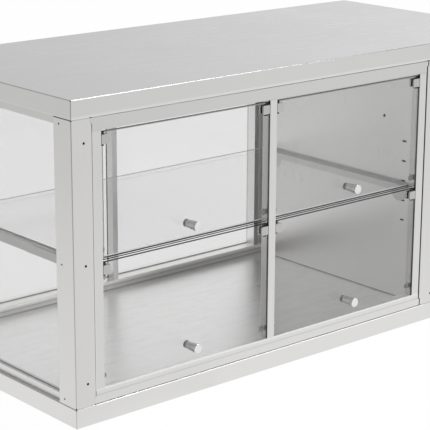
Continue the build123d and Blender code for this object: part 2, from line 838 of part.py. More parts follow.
def make_shelf_supports():
    """Left rail between the posts, its front bracket, and the right rail with its two hook plates."""
    z1 = shelf_top - shelf_glass
    z0 = z1 - shelf_rail_height
    x_left = left + post_width + meet
    angle = folded([(x_left, z0), (x_left, z1), (x_left + shelf_rail_foot, z1)], sheet)
    left_rail = along_y(angle, post_inner_y[0], post_inner_y[1])
    bracket = Polyline(
        (post_inner_y[0], z0),
        (post_inner_y[0] + shelf_bracket_length + shelf_bracket_slant, z0),
        (post_inner_y[0] + shelf_bracket_length, z1 - bend),
        (post_inner_y[0], z1 - bend),
        close=True,
    )
    left_bracket = along_x(make_face(bracket), x_left - sheet, x_left)
    x_right = wall_x
    angle = folded([(x_right, z0), (x_right, z1), (x_right - shelf_rail_foot, z1)], sheet, side=Side.LEFT)
    y0 = front + shelf_front_margin
    right_rail = along_y(angle, y0, y0 + shelf_depth)
    for slot_y in (front + slot_front, front + slot_rear):
        centre_y = min(slot_y + hook_plate_radius / 2, y0 + shelf_depth - hook_plate_radius)
        lobe = Pos(centre_y, z0 - hook_plate_drop + hook_plate_radius) * Circle(hook_plate_radius)
        right_rail += along_x(lobe, x_right - sheet, x_right)
    return Compound([left_rail, left_bracket, right_rail])


def louvre(x, z):
    """A louvre pressed into a panel in X and Z that faces -Y: the hole it leaves and its bent blade."""
    x0, x1 = x - louvre_length / 2, x + louvre_length / 2
    half = louvre_height / 2
    hole = block(x0, x1, -sheet, 2 * sheet, z - half + sheet, z + half)
    scoop = make_face(Wire([
        ThreePointArc((0, -half), (louvre_bulge * 0.8, -half * 0.3), (louvre_bulge, half)),
        Line((louvre_bulge, half), (0, half)),
        Line((0, half), (0, -half)),
    ]))
    full = along_x(Pos(0, z) * scoop, x0, x1)
    hollow = along_x(Pos(-sheet, z + sheet) * scoop, x0 + sheet, x1 - sheet)
    return hole, full - hollow


def louvred_panel(width, columns):
    """A panel in X and Z that faces -Y, with folded edges and columns of louvres, centred on X."""
    x0, x1 = -width / 2, width / 2
    points = [(x0, panel_fold), (x0, 0), (x1, 0), (x1, panel_fold)]
    panel = along_z(folded(points, sheet, side=Side.LEFT), body_bottom, body_top)
    panel += panel_ends(x0, x1, 0)
    middle = (body_bottom + body_top) / 2
    for x in columns:
        for row in range(louvre_rows):
            hole, blade = louvre(x, middle + (row - (louvre_rows - 1) / 2) * louvre_pitch)
            panel = panel - hole + blade
    return panel


def panel_ends(x0, x1, y):
    """Bottom and top flanges of a panel facing -Y, with the feet that fill its seams behind its face."""
    pieces = None
    for z0, z1 in ((body_bottom, body_bottom + sheet), (body_top - sheet, body_top)):
        flange = block(x0 + panel_fold, x1 - panel_fold, y + sheet / 2, y + panel_fold, z0, z1)
        pieces = flange if pieces is None else pieces + flange
    for z0, z1 in ((plinth_height, body_bottom), (body_top, hood_bottom)):
        pieces += block(x0 + panel_fold, x1 - panel_fold, y + setback, y + panel_fold, z0, z1)
    return pieces


def make_machine_front_panel():
    """Front panel of the machine compartment, with cut-outs for the thermostat and the switch."""
    x0, x1 = panel_left, right - post_width - meet
    points = [(x0, front + panel_fold), (x0, front), (x1, front), (x1, front + panel_fold)]
    panel = along_z(folded(points, sheet, side=Side.LEFT), body_bottom, body_top)
    ear_x = frame_right + ear_length + panel_gap
    panel -= block(x0, ear_x, front, frame_back, body_bottom, body_bottom + sill_height + meet)
    panel -= block(x0, ear_x, front, frame_back, body_top - ear_height - meet, body_top)
    panel += panel_ends(x0, x1, front)
    for x, z in panel_screw_places():
        panel -= polygon_y(front - sheet, front + 2 * sheet, x, z, screw_hole, screw_sides)
    panel -= rod_y(front - sheet, front + 2 * sheet, machine_x, control_height, collar_hole)
    half_w, half_h = switch_body_width / 2 + meet, switch_body_height / 2 + meet
    return panel - block(
        machine_x - half_w, machine_x + half_w, front - sheet, front + 2 * sheet,
        switch_z - half_h, switch_z + half_h,
    )


def panel_screw_places():
    """Screws at the four corners of the machine compartment's front panel."""
    for x in (panel_left + panel_screw_inset, right - post_width - meet - panel_screw_inset):
        for z in (body_bottom + panel_screw_margin, body_top - panel_screw_margin):
            yield x, z


def make_machine_side_panel():
    """Right end panel with louvres, between the right corner posts."""
    width = post_inner_y[1] - post_inner_y[0] - 2 * meet
    column = (width + louvre_length) / 4
    return Pos(right, 0, 0) * Rot(0, 0, 90) * louvred_panel(width, [-column, column])


def make_machine_rear_panel():
    """Rear panel of the machine compartment, with louvres and the mains inlet's cut-out."""
    x0, x1 = wall_x + meet, right - post_width - meet
    panel = Pos((x0 + x1) / 2, rear, 0) * Rot(0, 0, 180) * louvred_panel(x1 - x0, [0.0])
    half_w, half_h = inlet_body_width / 2 + meet, inlet_body_height / 2 + meet
    return panel - block(
        machine_x - half_w, machine_x + half_w, rear - 2 * sheet, rear + sheet,
        inlet_z - half_h, inlet_z + half_h,
    )


def make_mains_inlet():
    """Appliance inlet: a flange on the rear panel, a socket body behind it and three contact blades."""
    flange = along_y(
        Pos(machine_x, inlet_z) * RectangleRounded(inlet_width, inlet_height, inlet_flange),
        rear, rear + inlet_flange,
    )
    half_w, half_h = inlet_body_width / 2, inlet_body_height / 2
    body = block(
        machine_x - half_w, machine_x + half_w, rear - inlet_body_depth, rear,
        inlet_z - half_h, inlet_z + half_h,
    )
    socket_end = rear + inlet_flange - inlet_opening_depth
    inlet = flange + body - block(
        machine_x - inlet_opening_width / 2, machine_x + inlet_opening_width / 2,
        socket_end, rear + inlet_flange,
        inlet_z - inlet_opening_height / 2, inlet_z + inlet_opening_height / 2,
    )
    for side, rise in ((-1, -1), (0, 1), (1, -1)):
        x, z = machine_x + side * blade_spacing, inlet_z + rise * blade_width
        inlet += block(
            x - blade_width / 2, x + blade_width / 2, socket_end - blade_width, rear - blade_width,
            z - blade_height / 2, z + blade_height / 2,
        )
    return inlet


def make_thermostat():
    """Thermostat body behind the front panel, with a collar through it for the spindle."""
    y0 = front + sheet
    half = thermostat_width / 2
    body = block(
        machine_x - half, machine_x + half, y0, y0 + thermostat_depth,
        control_height - half, control_height + half,
    )
    body = fillet(body.edges().filter_by(Axis.Y), bend)
    collar = rod_y(front - meet, y0, machine_x, control_height, collar_diameter)
    bore = spindle_diameter + 2 * pin_clearance
    return body + collar - rod_y(front - sheet, y0 + thermostat_depth / 2, machine_x, control_height, bore)


def make_thermostat_dial():
    """Dial with a skirt, finger flutes and a pointer rib, on its spindle."""
    face = dial_back - dial_height
    skirt = rod_y(dial_back - dial_skirt_height, dial_back, machine_x, control_height, dial_skirt_diameter)
    cap = rod_y(face, dial_back, machine_x, control_height, dial_diameter)
    cap = chamfer(cap.edges().sort_by(Axis.Y)[0], bend / 2)
    for index in range(dial_grip_count):
        angle = radians(360 / dial_grip_count * (index + 0.5))
        x = machine_x + cos(angle) * (dial_diameter + flute_diameter) / 2
        z = control_height + sin(angle) * (dial_diameter + flute_diameter) / 2
        cap -= rod_y(face, dial_back - dial_skirt_height, x, z, flute_diameter * 1.3)
    pointer = block(
        machine_x - 1, machine_x + 1, face - 0.6, face,
        control_height + spindle_diameter, control_height + dial_diameter / 2 - 2 * bend,
    )
    end = front + sheet + thermostat_depth / 2 - 1
    return skirt + cap + pointer + rod_y(dial_back, end, machine_x, control_height, spindle_diameter)


def make_switch_housing():
    """Snap-in housing of the rocker switch: a bezel on the panel and a body behind it."""
    face = front - bezel_height
    outline = Pos(machine_x, switch_z) * RectangleRounded(switch_width, switch_height, bend)
    bezel = along_y(outline, face, front)
    half_w, half_h = switch_body_width / 2, switch_body_height / 2
    body = block(
        machine_x - half_w, machine_x + half_w, front, front + switch_body_depth,
        switch_z - half_h, switch_z + half_h,
    )
    cavity = block(
        machine_x - half_w + switch_wall, machine_x + half_w - switch_wall,
        face, front + switch_body_depth - switch_wall,
        switch_z - half_h + switch_wall, switch_z + half_h - switch_wall,
    )
    pin_hole = rod_z(
        switch_z - half_h, switch_z + half_h, machine_x, front + rocker_pivot, rocker_pin + 2 * pin_clearance
    )
    return bezel + body - cavity - pin_hole


def make_switch_rocker():
    """Rocker with two angled faces and a cross pin, tilted to its off position."""
    half = switch_body_width / 2 - switch_wall - 1.2
    tall = switch_body_height / 2 - switch_wall - meet
    rise = half * sin(radians(rocker_tilt))
    run = half * cos(radians(rocker_tilt))
    face = make_face(Polyline(
        (-run, -3.5 - rise),
        (0, -3.5),
        (run, -3.5 - rise),
        (half * 0.8, 3),
        (0, 6),
        (-half * 0.8, 3),
        close=True,
    ))
    rocker = along_z(face, -tall, tall)
    rocker += rod_z(-switch_body_height / 2 + meet, switch_body_height / 2 - meet, 0, 0, rocker_pin)
    return Pos(machine_x, front + rocker_pivot, switch_z) * Rot(0, 0, -rocker_tilt) * rocker


def make_compressor():
    """Hermetic compressor: a pressed pot with a welded rim, two stubs, a foot plate and rubber feet."""
    x, y = compressor_x, compressor_y
    radius = compressor_diameter / 2
    base = plinth_height + compressor_lift
    plate = RectangleRounded(compressor_foot_length, compressor_foot_width, bend * 4)
    compressor = along_z(Pos(x, y) * plate, base, base + compressor_foot_sheet)
    reach_x = (compressor_foot_length - rubber_foot_diameter) / 2
    reach_y = (compressor_foot_width - rubber_foot_diameter) / 2
    for foot_x in (x - reach_x, x + reach_x):
        for foot_y in (y - reach_y, y + reach_y):
            foot = Pos(foot_x, foot_y) * RegularPolygon(rubber_foot_diameter / 2, washer_sides)
            compressor += along_z(foot, plinth_height, base)
    top = plinth_height + compressor_height
    pot = rod_z(base + compressor_foot_sheet, top, x, y, compressor_diameter)
    pot = chamfer(pot.edges().filter_by(GeomType.CIRCLE).sort_by(Axis.Z)[-1], compressor_dome)
    rim_z = (base + top) / 2
    rim_diameter = compressor_diameter + 2 * compressor_rim
    compressor += pot + rod_z(rim_z, rim_z + compressor_rim_height, x, y, rim_diameter)
    reach = radius + stub_length
    return compressor + rod_x(x - reach, x + reach, y, stub_height(), stub_diameter)


def stub_height():
    """Height of the compressor's two line stubs."""
    return plinth_height + compressor_height * 0.4


def make_condenser():
    """Condenser: two end plates, a row of fins between them and the tubes through the fins."""
    x0, x1 = condenser_x, condenser_x + condenser_depth
    half = condenser_width / 2
    top = condenser_bottom + condenser_height
    condenser = block(x0, x1, condenser_y - half - sheet, condenser_y - half, plinth_height, top + fin_inset)
    condenser += block(x0, x1, condenser_y + half, condenser_y + half + sheet, plinth_height, top + fin_inset)
    end = half + condenser_tube_reach
    for row in range(tube_rows):
        z = condenser_bottom + (row + 0.5) * condenser_height / tube_rows
        section = Pos((x0 + x1) / 2, z) * tube_section(coil_tube)
        condenser += along_y(section, condenser_y - end, condenser_y + end)
    for index in range(fin_count):
        y = condenser_y - half + (index + 0.5) * condenser_width / fin_count
        condenser += block(
            x0 + fin_inset, x1 - fin_inset, y - fin_sheet / 2, y + fin_sheet / 2, condenser_bottom, top
        )
    return condenser


def make_fan_shroud():
    """Shroud on the condenser: a square plate with a round inlet ring and the motor's arms and collar."""
    back = condenser_x - meet
    half_y, half_z = condenser_width / 2, condenser_height / 2
    bore = fan_diameter + 2 * fan_tip_gap
    plate = along_x(rectangle(-half_y, half_y, -half_z, half_z), back - sheet, back)
    ring = rod_x(fan_front, back, 0, 0, bore + 2 * fan_ring)
    shroud = plate + ring - rod_x(fan_front, back, 0, 0, bore)
    holder = rod_x(fan_front - fan_arm, fan_front, 0, 0, motor_diameter + fan_arm_width)
    for angle in (30, 150, 270):
        holder += Rot(angle, 0, 0) * block(
            fan_front - fan_arm, fan_front, -fan_arm_width / 2, fan_arm_width / 2, 0, bore / 2 + fan_ring
        )
    holder -= rod_x(fan_front - fan_arm, fan_front, 0, 0, motor_diameter + 2 * pin_clearance)
    return Pos(0, condenser_y, fan_z) * (shroud + holder)


def make_fan_motor():
    """Round fan motor held in the shroud's collar, with a bore for the rotor's shaft."""
    body = rod_x(fan_front - motor_length, fan_front, condenser_y, fan_z, motor_diameter)
    body = chamfer(body.edges().filter_by(GeomType.CIRCLE).sort_by(Axis.X)[0], 2 * bend)
    bore = shaft_diameter + 2 * pin_clearance
    return body - rod_x(fan_front - motor_length / 2, fan_front, condenser_y, fan_z, bore)


def make_fan_rotor():
    """Fan rotor: hub, pitched blades and the shaft that turns in the motor."""
    hub_end = fan_front + fan_hub_gap + fan_hub_length
    middle = hub_end - fan_hub_length / 2
    rotor = rod_x(fan_front + fan_hub_gap, hub_end, 0, 0, fan_hub_diameter)
    rotor += rod_x(fan_front - motor_length / 2 + 1, hub_end, 0, 0, shaft_diameter)
    for index in range(fan_blades):
        rotor += Rot(index * 360 / fan_blades, 0, 0) * Pos(middle, 0, 0) * fan_blade()
    return Pos(0, condenser_y, fan_z) * rotor


def fan_blade():
    """Blade of crowned sheet that climbs along the axis, cut to a planform that widens to a round tip."""
    root, tip = fan_hub_diameter / 2 - bend, fan_diameter / 2
    half, rise = blade_length / 2, blade_rise / 2
    crown = ThreePointArc((-rise, -half), (-blade_crown, 0), (rise, half))
    sheet_section = make_face(offset(crown, amount=blade_sheet, side=Side.RIGHT))
    shoulder = tip * cos(radians(20))
    planform = make_face(Wire([
        Line((-blade_root_width / 2, root), (blade_root_width / 2, root)),
        Line((blade_root_width / 2, root), (blade_tip_width / 2, shoulder)),
        ThreePointArc((blade_tip_width / 2, shoulder), (0, tip), (-blade_tip_width / 2, shoulder)),
        Line((-blade_tip_width / 2, shoulder), (-blade_root_width / 2, root)),
    ]))
    return along_z(sheet_section, root, tip) & along_x(planform, -blade_length, blade_length)


def tube_along(points, diameter):
    """A round pipe along straight runs joined by bends."""
    path = FilletPolyline(*points, radius=line_bend)
    return sweep(Plane(origin=path @ 0, z_dir=path % 0) * tube_section(diameter), path=path)


def make_refrigerant_lines():
    """Discharge line, liquid line with its drier and capillary, and suction line."""
    reach = compressor_diameter / 2 + stub_length
    low = stub_height()
    step = condenser_height / tube_rows / 2
    z_top, z_low = condenser_bottom + condenser_height - step, condenser_bottom + step
    tube_x = condenser_x + condenser_depth / 2
    tube_y = condenser_y + condenser_width / 2 + condenser_tube_reach
    pass_y = tube_y + 2 * line_bend
    riser_x = fan_front + fan_ring_depth / 2
    discharge = tube_along([
        (compressor_x + reach, compressor_y, low),
        (riser_x, compressor_y, low),
        (riser_x, pass_y, low),
        (riser_x, pass_y, z_top),
        (tube_x, pass_y, z_top),
        (tube_x, tube_y, z_top),
    ], line_tube)
    drier_x0 = wall_x + drier_inset
    drier_x1 = drier_x0 + drier_length
    drier_y = pass_y - 5 * line_bend
    turn_x = drier_x1 + 4 * line_bend
    liquid = tube_along([
        (tube_x, tube_y, z_low),
        (tube_x, pass_y, z_low),
        (turn_x, pass_y, z_low),
        (turn_x, drier_y, z_low),
        (drier_x1, drier_y, z_low),
    ], line_tube)
    drier = rod_x(drier_x0, drier_x1, drier_y, z_low, drier_diameter)
    drier = chamfer(drier.edges().filter_by(GeomType.CIRCLE), 3 * bend)
    drop_x = wall_x + line_inset
    capillary = tube_along([
        (drier_x0, drier_y, z_low),
        (drop_x, drier_y, z_low),
        (drop_x, drier_y, plinth_height),
    ], capillary_tube)
    suction_y = compressor_y - compressor_diameter
    suction = tube_along([
        (compressor_x - reach, compressor_y, low),
        (drop_x, compressor_y, low),
        (drop_x, suction_y, low),
        (drop_x, suction_y, plinth_height),
    ], line_tube)
    return Compound([discharge, liquid + drier + capillary, suction])


def make_frame_screws():
    """Recessed screws of the corner posts and of the machine compartment's front panel."""
    screws = []
    turns = {(-1, -1): 0, (1, -1): 0, (-1, 1): 180, (1, 1): 180}
    for (x_side, y_side), turn in turns.items():
        for x, y, z in face_screws(x_side, y_side):
            screws.append(Pos(x, y, z) * Rot(0, 0, turn) * screw(screw_head))
        for x, y, z in side_screws(x_side, y_side):
            screws.append(Pos(x, y, z) * Rot(0, 0, 90 * x_side) * screw(side_screw_head))
    for x, z in panel_screw_places():
        screws.append(Pos(x, front, z) * screw(screw_head))
    return Compound(screws)


def screw(head):
    """A grub screw driven along +Y, whose end lies just under the sheet's face at Y 0."""
    return polygon_y(screw_recess, screw_depth, 0, 0, head, screw_sides)


def build():
    """Every node's solid or group of solids, by name."""
    nodes = {
        "plinth": make_plinth(),
        "bottom_pan": make_bottom_pan(),
        "base_insulation": make_base_insulation(),
        "evaporator_coil": make_evaporator_coil(),
        "well_floor": make_well_floor(),
        "front_left_post": make_front_left_post(),
        "rear_left_post": make_post(-1, 1),
        "front_right_post": make_post(1, -1),
        "rear_right_post": make_post(1, 1),
        "partition_wall": make_partition_wall(),
        "partition_insulation": make_partition_insulation(),
        "door_top_rail": make_door_top_rail(),
        "door_bottom_rail": make_door_bottom_rail(),
        "door_left_stile": make_door_left_stile(),
        "door_right_stile": make_door_right_stile(),
        "door_mullion": make_door_mullion(),
        "hinge_bushes": make_hinge_bushes(),
        "flap_stops": make_flap_stops(),
        "flap_buffers": make_flap_buffers(),
        "side_rails": make_side_rails(),
        "side_glass": make_side_glass(),
        "rear_rails": make_rear_rails(),
        "rear_uprights": make_rear_uprights(),
        "rear_glass": make_rear_glass(),
        "glazing_seals": make_glazing_seals(),
        "hood": make_hood(),
        "ceiling_liner": make_ceiling_liner(),
        "shelf_glass": make_shelf_glass(),
        "shelf_supports": make_shelf_supports(),
        "machine_front_panel": make_machine_front_panel(),
        "machine_side_panel": make_machine_side_panel(),
        "machine_rear_panel": make_machine_rear_panel(),
        "compressor": make_compressor(),
        "condenser": make_condenser(),
        "fan_shroud": make_fan_shroud(),
        "fan_motor": make_fan_motor(),
        "fan_rotor": make_fan_rotor(),
        "refrigerant_lines": make_refrigerant_lines(),
        "thermostat": make_thermostat(),
        "thermostat_dial": make_thermostat_dial(),
        "switch_housing": make_switch_housing(),
        "switch_rocker": make_switch_rocker(),
        "mains_inlet": make_mains_inlet(),
        "frame_screws": make_frame_screws(),
    }
    for side, opening_x0 in zip(("left", "right"), opening_left):
        for level, top in flap_top.items():
            nodes[f"{level}_{side}_flap_glass"] = make_flap_glass(opening_x0, top)
            nodes[f"{level}_{side}_flap_fittings"] = make_flap_fittings(opening_x0, top)
            nodes[f"{level}_{side}_flap_gaskets"] = make_flap_gaskets(opening_x0, top)
            nodes[f"{level}_{side}_flap_knob"] = make_knob(opening_x0, top)
    return nodes


os.makedirs("parts", exist_ok=True)
for name, shape in build().items():
    export_step(shape, f"parts/{name}.step")
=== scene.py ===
from itertools import product
from math import radians

import bpy
import numpy as np
from mathutils import Matrix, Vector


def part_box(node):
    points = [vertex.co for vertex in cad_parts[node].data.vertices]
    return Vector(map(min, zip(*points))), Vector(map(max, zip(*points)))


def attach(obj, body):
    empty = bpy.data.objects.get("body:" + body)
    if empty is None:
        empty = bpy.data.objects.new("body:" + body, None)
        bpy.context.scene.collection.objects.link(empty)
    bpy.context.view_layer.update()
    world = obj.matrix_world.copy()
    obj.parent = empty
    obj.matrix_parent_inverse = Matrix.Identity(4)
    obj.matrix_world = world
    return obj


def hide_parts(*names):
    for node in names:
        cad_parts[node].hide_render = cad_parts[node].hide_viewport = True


# Refrigerated display case, dressed for the shop: satin steel, clear glass, turned knobs, black
# socket screws and the controls of the machine compartment. Lengths are in metres, in the frame's
# own places.
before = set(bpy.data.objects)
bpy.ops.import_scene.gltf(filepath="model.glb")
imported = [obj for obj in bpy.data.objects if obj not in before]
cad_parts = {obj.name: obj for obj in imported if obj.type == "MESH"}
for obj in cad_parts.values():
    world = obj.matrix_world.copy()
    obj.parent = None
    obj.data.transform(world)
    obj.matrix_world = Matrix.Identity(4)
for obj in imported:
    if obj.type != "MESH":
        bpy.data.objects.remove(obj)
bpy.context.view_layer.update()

# Camera
camera_place = (-2.5456, -2.8902, 1.3500)
camera_yaw = 40.829
camera_pitch = 15.681
camera_roll = 0.246
camera_lens = 135.94
camera_sensor = 36.0
camera_reach = 60.0

# Levels of the world and of the floor, and where the floor stops mirroring white
world_level = 0.72
studio_level = 0.84
overhead_dimming = 0.12
floor_white_share = 0.97
floor_size = 14.0
floor_near = 0.6
floor_fade = 2.0

# Lamps: place, aim, width, power and whether metal mirrors them
soft_box = ((2.3, -1.2, 4.6), (0.0, -0.2, 0.6), 1.8, 100.0, True)
fill_lamp = ((-2.4, -3.0, 2.2), (0.0, 0.0, 0.35), 2.4, 22.0, False)
rear_lamp = ((0.8, 3.2, 2.4), (0.0, 0.0, 0.3), 2.4, 16.0, False)

# What the steel mirrors of the studio: a direction, how sharply it ends and the level it adds
studio_patches = (
    ((-0.75, 0.66, 0.0), 2.0, -0.05),
    ((-0.76, -0.65, 0.0), 8.0, -0.45),
    ((-0.3, 0.75, 0.6), 12.0, -0.25),
    ((0.6, -0.7, 0.38), 30.0, 1.2),
    ((0.87, 0.45, 0.2), 10.0, 0.5),
)

# Places of the case that the painted shade and highlights and the fittings refer to
case_left, case_front, hood_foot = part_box("hood")[0]
case_right, case_back, case_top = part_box("hood")[1]
plinth_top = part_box("plinth")[1][2]
post_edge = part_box("front_left_post")[1][0]
panel_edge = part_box("machine_front_panel")[0][0]
sill_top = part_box("door_bottom_rail")[1][2]
well_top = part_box("well_floor")[1][2]
rear_sill_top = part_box("rear_uprights")[0][2]
rear_post_edge, rear_post_back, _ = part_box("rear_uprights")[1]
rear_pane_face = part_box("rear_glass")[0][1]
pane_edge, pane_face, upper_pane_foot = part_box("upper_left_flap_glass")[0]
upper_pane_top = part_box("upper_left_flap_glass")[1][2]
lower_pane_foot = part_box("lower_left_flap_glass")[0][2]
lower_pane_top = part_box("lower_left_flap_glass")[1][2]
shelf_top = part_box("shelf_glass")[1][2]


def near(letter, place, start, end):
    """A limit along an axis, from one distance off a place to another."""
    return (letter, place + start, place + end)


# Ways that a steel face looks, as limits of its normal
left_face, right_face, front_face = ("nX", -1.1, -0.9), ("nX", 0.9, 1.1), ("nY", -1.1, -0.9)
left_flank, right_flank = ("nX", -1.1, -0.97), ("nX", 0.97, 1.1)
left_fold, right_fold = ("nX", -0.98, -0.2), ("nX", 0.2, 0.98)
front_fold, top_fold = ("nY", -0.98, -0.2), ("nZ", 0.2, 0.98)

# Marks on the steel, all painted light: the share by which it is painted darker as painted shade
# (painted brighter as a painted highlight if below zero) where all the limits hold. A limit is an axis,
# or n and an axis for the way that the face looks, and a range.
# Painted shade in the seam under the hood, deepest on the case's ends
under_hood = near("Z", hood_foot, -0.0024, 0.0002)
seam_shade = ((0.14, under_hood), (0.74, under_hood, left_face), (0.74, under_hood, right_face))
# Painted shade in the seam over the plinth, across the front
sill_seam_shade = (0.9, ("Z", 0.0, plinth_top + 0.0016), near("Y", case_front, -0.0075, 0.0325))
# A painted highlight on the folds beside the left front post, lightening the seam line there
post_seam_highlight = (-0.4, near("X", post_edge, -0.006, 0.006), left_fold)
# Painted shade in the gap between the door frame and the machine's front panel
panel_seam_shade = (0.55, near("X", panel_edge, -0.0012, 0.0011), near("Y", case_front, -0.0075, 0.0225))
# Painted shade along the joint just over the well's floor
well_seam_shade = (0.6, near("Z", well_top, 0.0, 0.0022))
stile_depth = near("Y", case_front, -0.0075, 0.006)
# Painted shade on the flanks of the stiles and mullion beside the panes
stile_flank_shade = (
    (0.8, right_flank, stile_depth),
    (0.8, left_flank, stile_depth, ("X", post_edge + 0.009, panel_edge)),
)
# On the rails: painted shade on the top rail's fold and upper face under the hood, a painted highlight
# along the sill's top edge, and a painted shade line in the sill's front crease
rail_painted_light = (
    (0.65, near("Z", hood_foot, -0.01, 0.0002), top_fold),
    (-0.35, near("Z", sill_top, -0.0005, 0.0005)),
    (0.2, near("Z", sill_top, -0.013, -0.0114), front_face),
    (0.1, near("Z", hood_foot, -0.06, 0.0)),
)
# On the rear rails: a painted highlight along the top, a painted shade line below it and painted shade on
# the face beneath
rear_rail_painted_light = (
    (-0.36, near("Z", rear_sill_top, -0.0045, 0.0001)),
    (0.45, near("Z", rear_sill_top, -0.0124, -0.0094)),
    (0.18, near("Z", rear_sill_top, -0.0208, -0.0124)),
)
# On the rear uprights: painted shade in the gap before the rear glass, a painted shade band by the
# partition and a painted highlight beside it
rear_post_painted_light = (
    (0.93, near("Y", rear_post_back, -0.005, 0.0001), ("X", case_left, 0.0)),
    (0.6, near("X", rear_post_edge, -0.0145, 0.0005)),
    (-0.25, near("X", rear_post_edge, -0.033, -0.0145)),
)
# A painted highlight along the plinth's top fold
plinth_fold_highlight = (-0.33, near("Z", plinth_top, -0.0022, 0.0001), ("X", post_edge + 0.001, panel_edge + 0.0163))
# On the hood: painted highlights along its lower lip and front hem, and painted shade on its right top fold
hood_painted_light = (
    (-0.12, near("Z", hood_foot, -0.0002, 0.0014)),
    (-0.1, near("Z", hood_foot, -0.0002, 0.0052), front_face),
    (0.6, near("X", case_right, -0.016, 0.004), right_fold, top_fold),
)

# The hood's front fold is painted darker step by step to the right, a painted shade that fades its
# highlight
fade_starts = (-0.6, -0.4, -0.2, 0.0, 0.2, 0.4)
hood_fade_shade = tuple((0.11, ("X", start, case_right + 0.004), top_fold, front_fold) for start in fade_starts)

# Strips of a pane painted in an opaque tone, a tone and limits as above: the dark ones on the flaps
# are painted shade, the pale one on the shelf's front edge a painted highlight
pane_front = near("Y", pane_face, -0.0005, 0.0003)
# Painted shade lines: by the left flaps' outer edge, along the upper panes' top, and at the gap between
# upper and lower panes
flap_painted_shade = (
    (0.3, near("X", pane_edge, 0.0021, 0.0049), ("Z", 0.31, 0.63), pane_front),
    (0.3, near("Z", upper_pane_top, -0.0023, 0.0001), pane_front),
    (0.02, near("Z", upper_pane_foot, -0.00025, 0.00205), pane_front),
    (0.02, near("Z", lower_pane_top, -0.00085, 0.00005), pane_front),
)
# A painted highlight along the top of the shelf's front edge
shelf_painted_highlight = ((0.9, near("Z", shelf_top, -0.0026, -0.0001), ("nY", -1.1, -0.7)),)

# Grain of the sheets: how far the noise is squeezed along X, Y and Z
upright_grain, level_grain, sheet_grain = (420, 420, 6), (6, 420, 420), (8, 260, 260)

# Screws: how far a row lies from the case's end, how far its outer screws lie from its middle one,
# and how far the panel's screws lie from the panel's middle
post_screw_inset, end_screw_inset = 0.031, 0.041
post_screw_reach, end_screw_reach, panel_screw_reach = 0.2575, 0.2955, 0.2845
panel_screw_spread = 0.114
screw_radius, end_screw_radius, screw_sunk = 0.0029, 0.0022, 0.0006

# Controls: the dial's sweep in degrees from its first figure to its last, the number of its figures
# and how far they lie from its axis, and how far the switch's figures lie from its middle
dial_sweep, dial_figures, dial_figures_radius = 270, 8, 0.031
switch_figures_reach = 0.0205
figure_size = 0.0075

# Least radius of a turned profile, at its axis
pole = 0.0001


class Value:
    """A node's output that takes part in sums: each operator adds the Math node that it stands for."""

    def __init__(self, finish, socket):
        self.finish = finish
        self.socket = socket

    def math(self, operation, first, second=0.0, clamp=False):
        settings = {"operation": operation, "use_clamp": clamp}
        return self.finish.add("ShaderNodeMath", settings, {0: first, 1: second})

    def __add__(self, other):
        return self.math("ADD", self, other)

    def __radd__(self, other):
        return self.math("ADD", other, self)

    def __sub__(self, other):
        return self.math("SUBTRACT", self, other)

    def __rsub__(self, other):
        return self.math("SUBTRACT", other, self)

    def __mul__(self, other):
        return self.math("MULTIPLY", self, other)

    def __rmul__(self, other):
        return self.math("MULTIPLY", other, self)

    def __truediv__(self, other):
        return self.math("DIVIDE", self, other)

    def __gt__(self, other):
        return self.math("GREATER_THAN", self, other)

    def __lt__(self, other):
        return self.math("LESS_THAN", self, other)

    def __abs__(self):
        return self.math("ABSOLUTE", self)

    def __pow__(self, other):
        return self.math("POWER", self, other)

    def within_one(self):
        """The value, held between 0 and 1."""
        return self.math("ADD", self, 0.0, clamp=True)


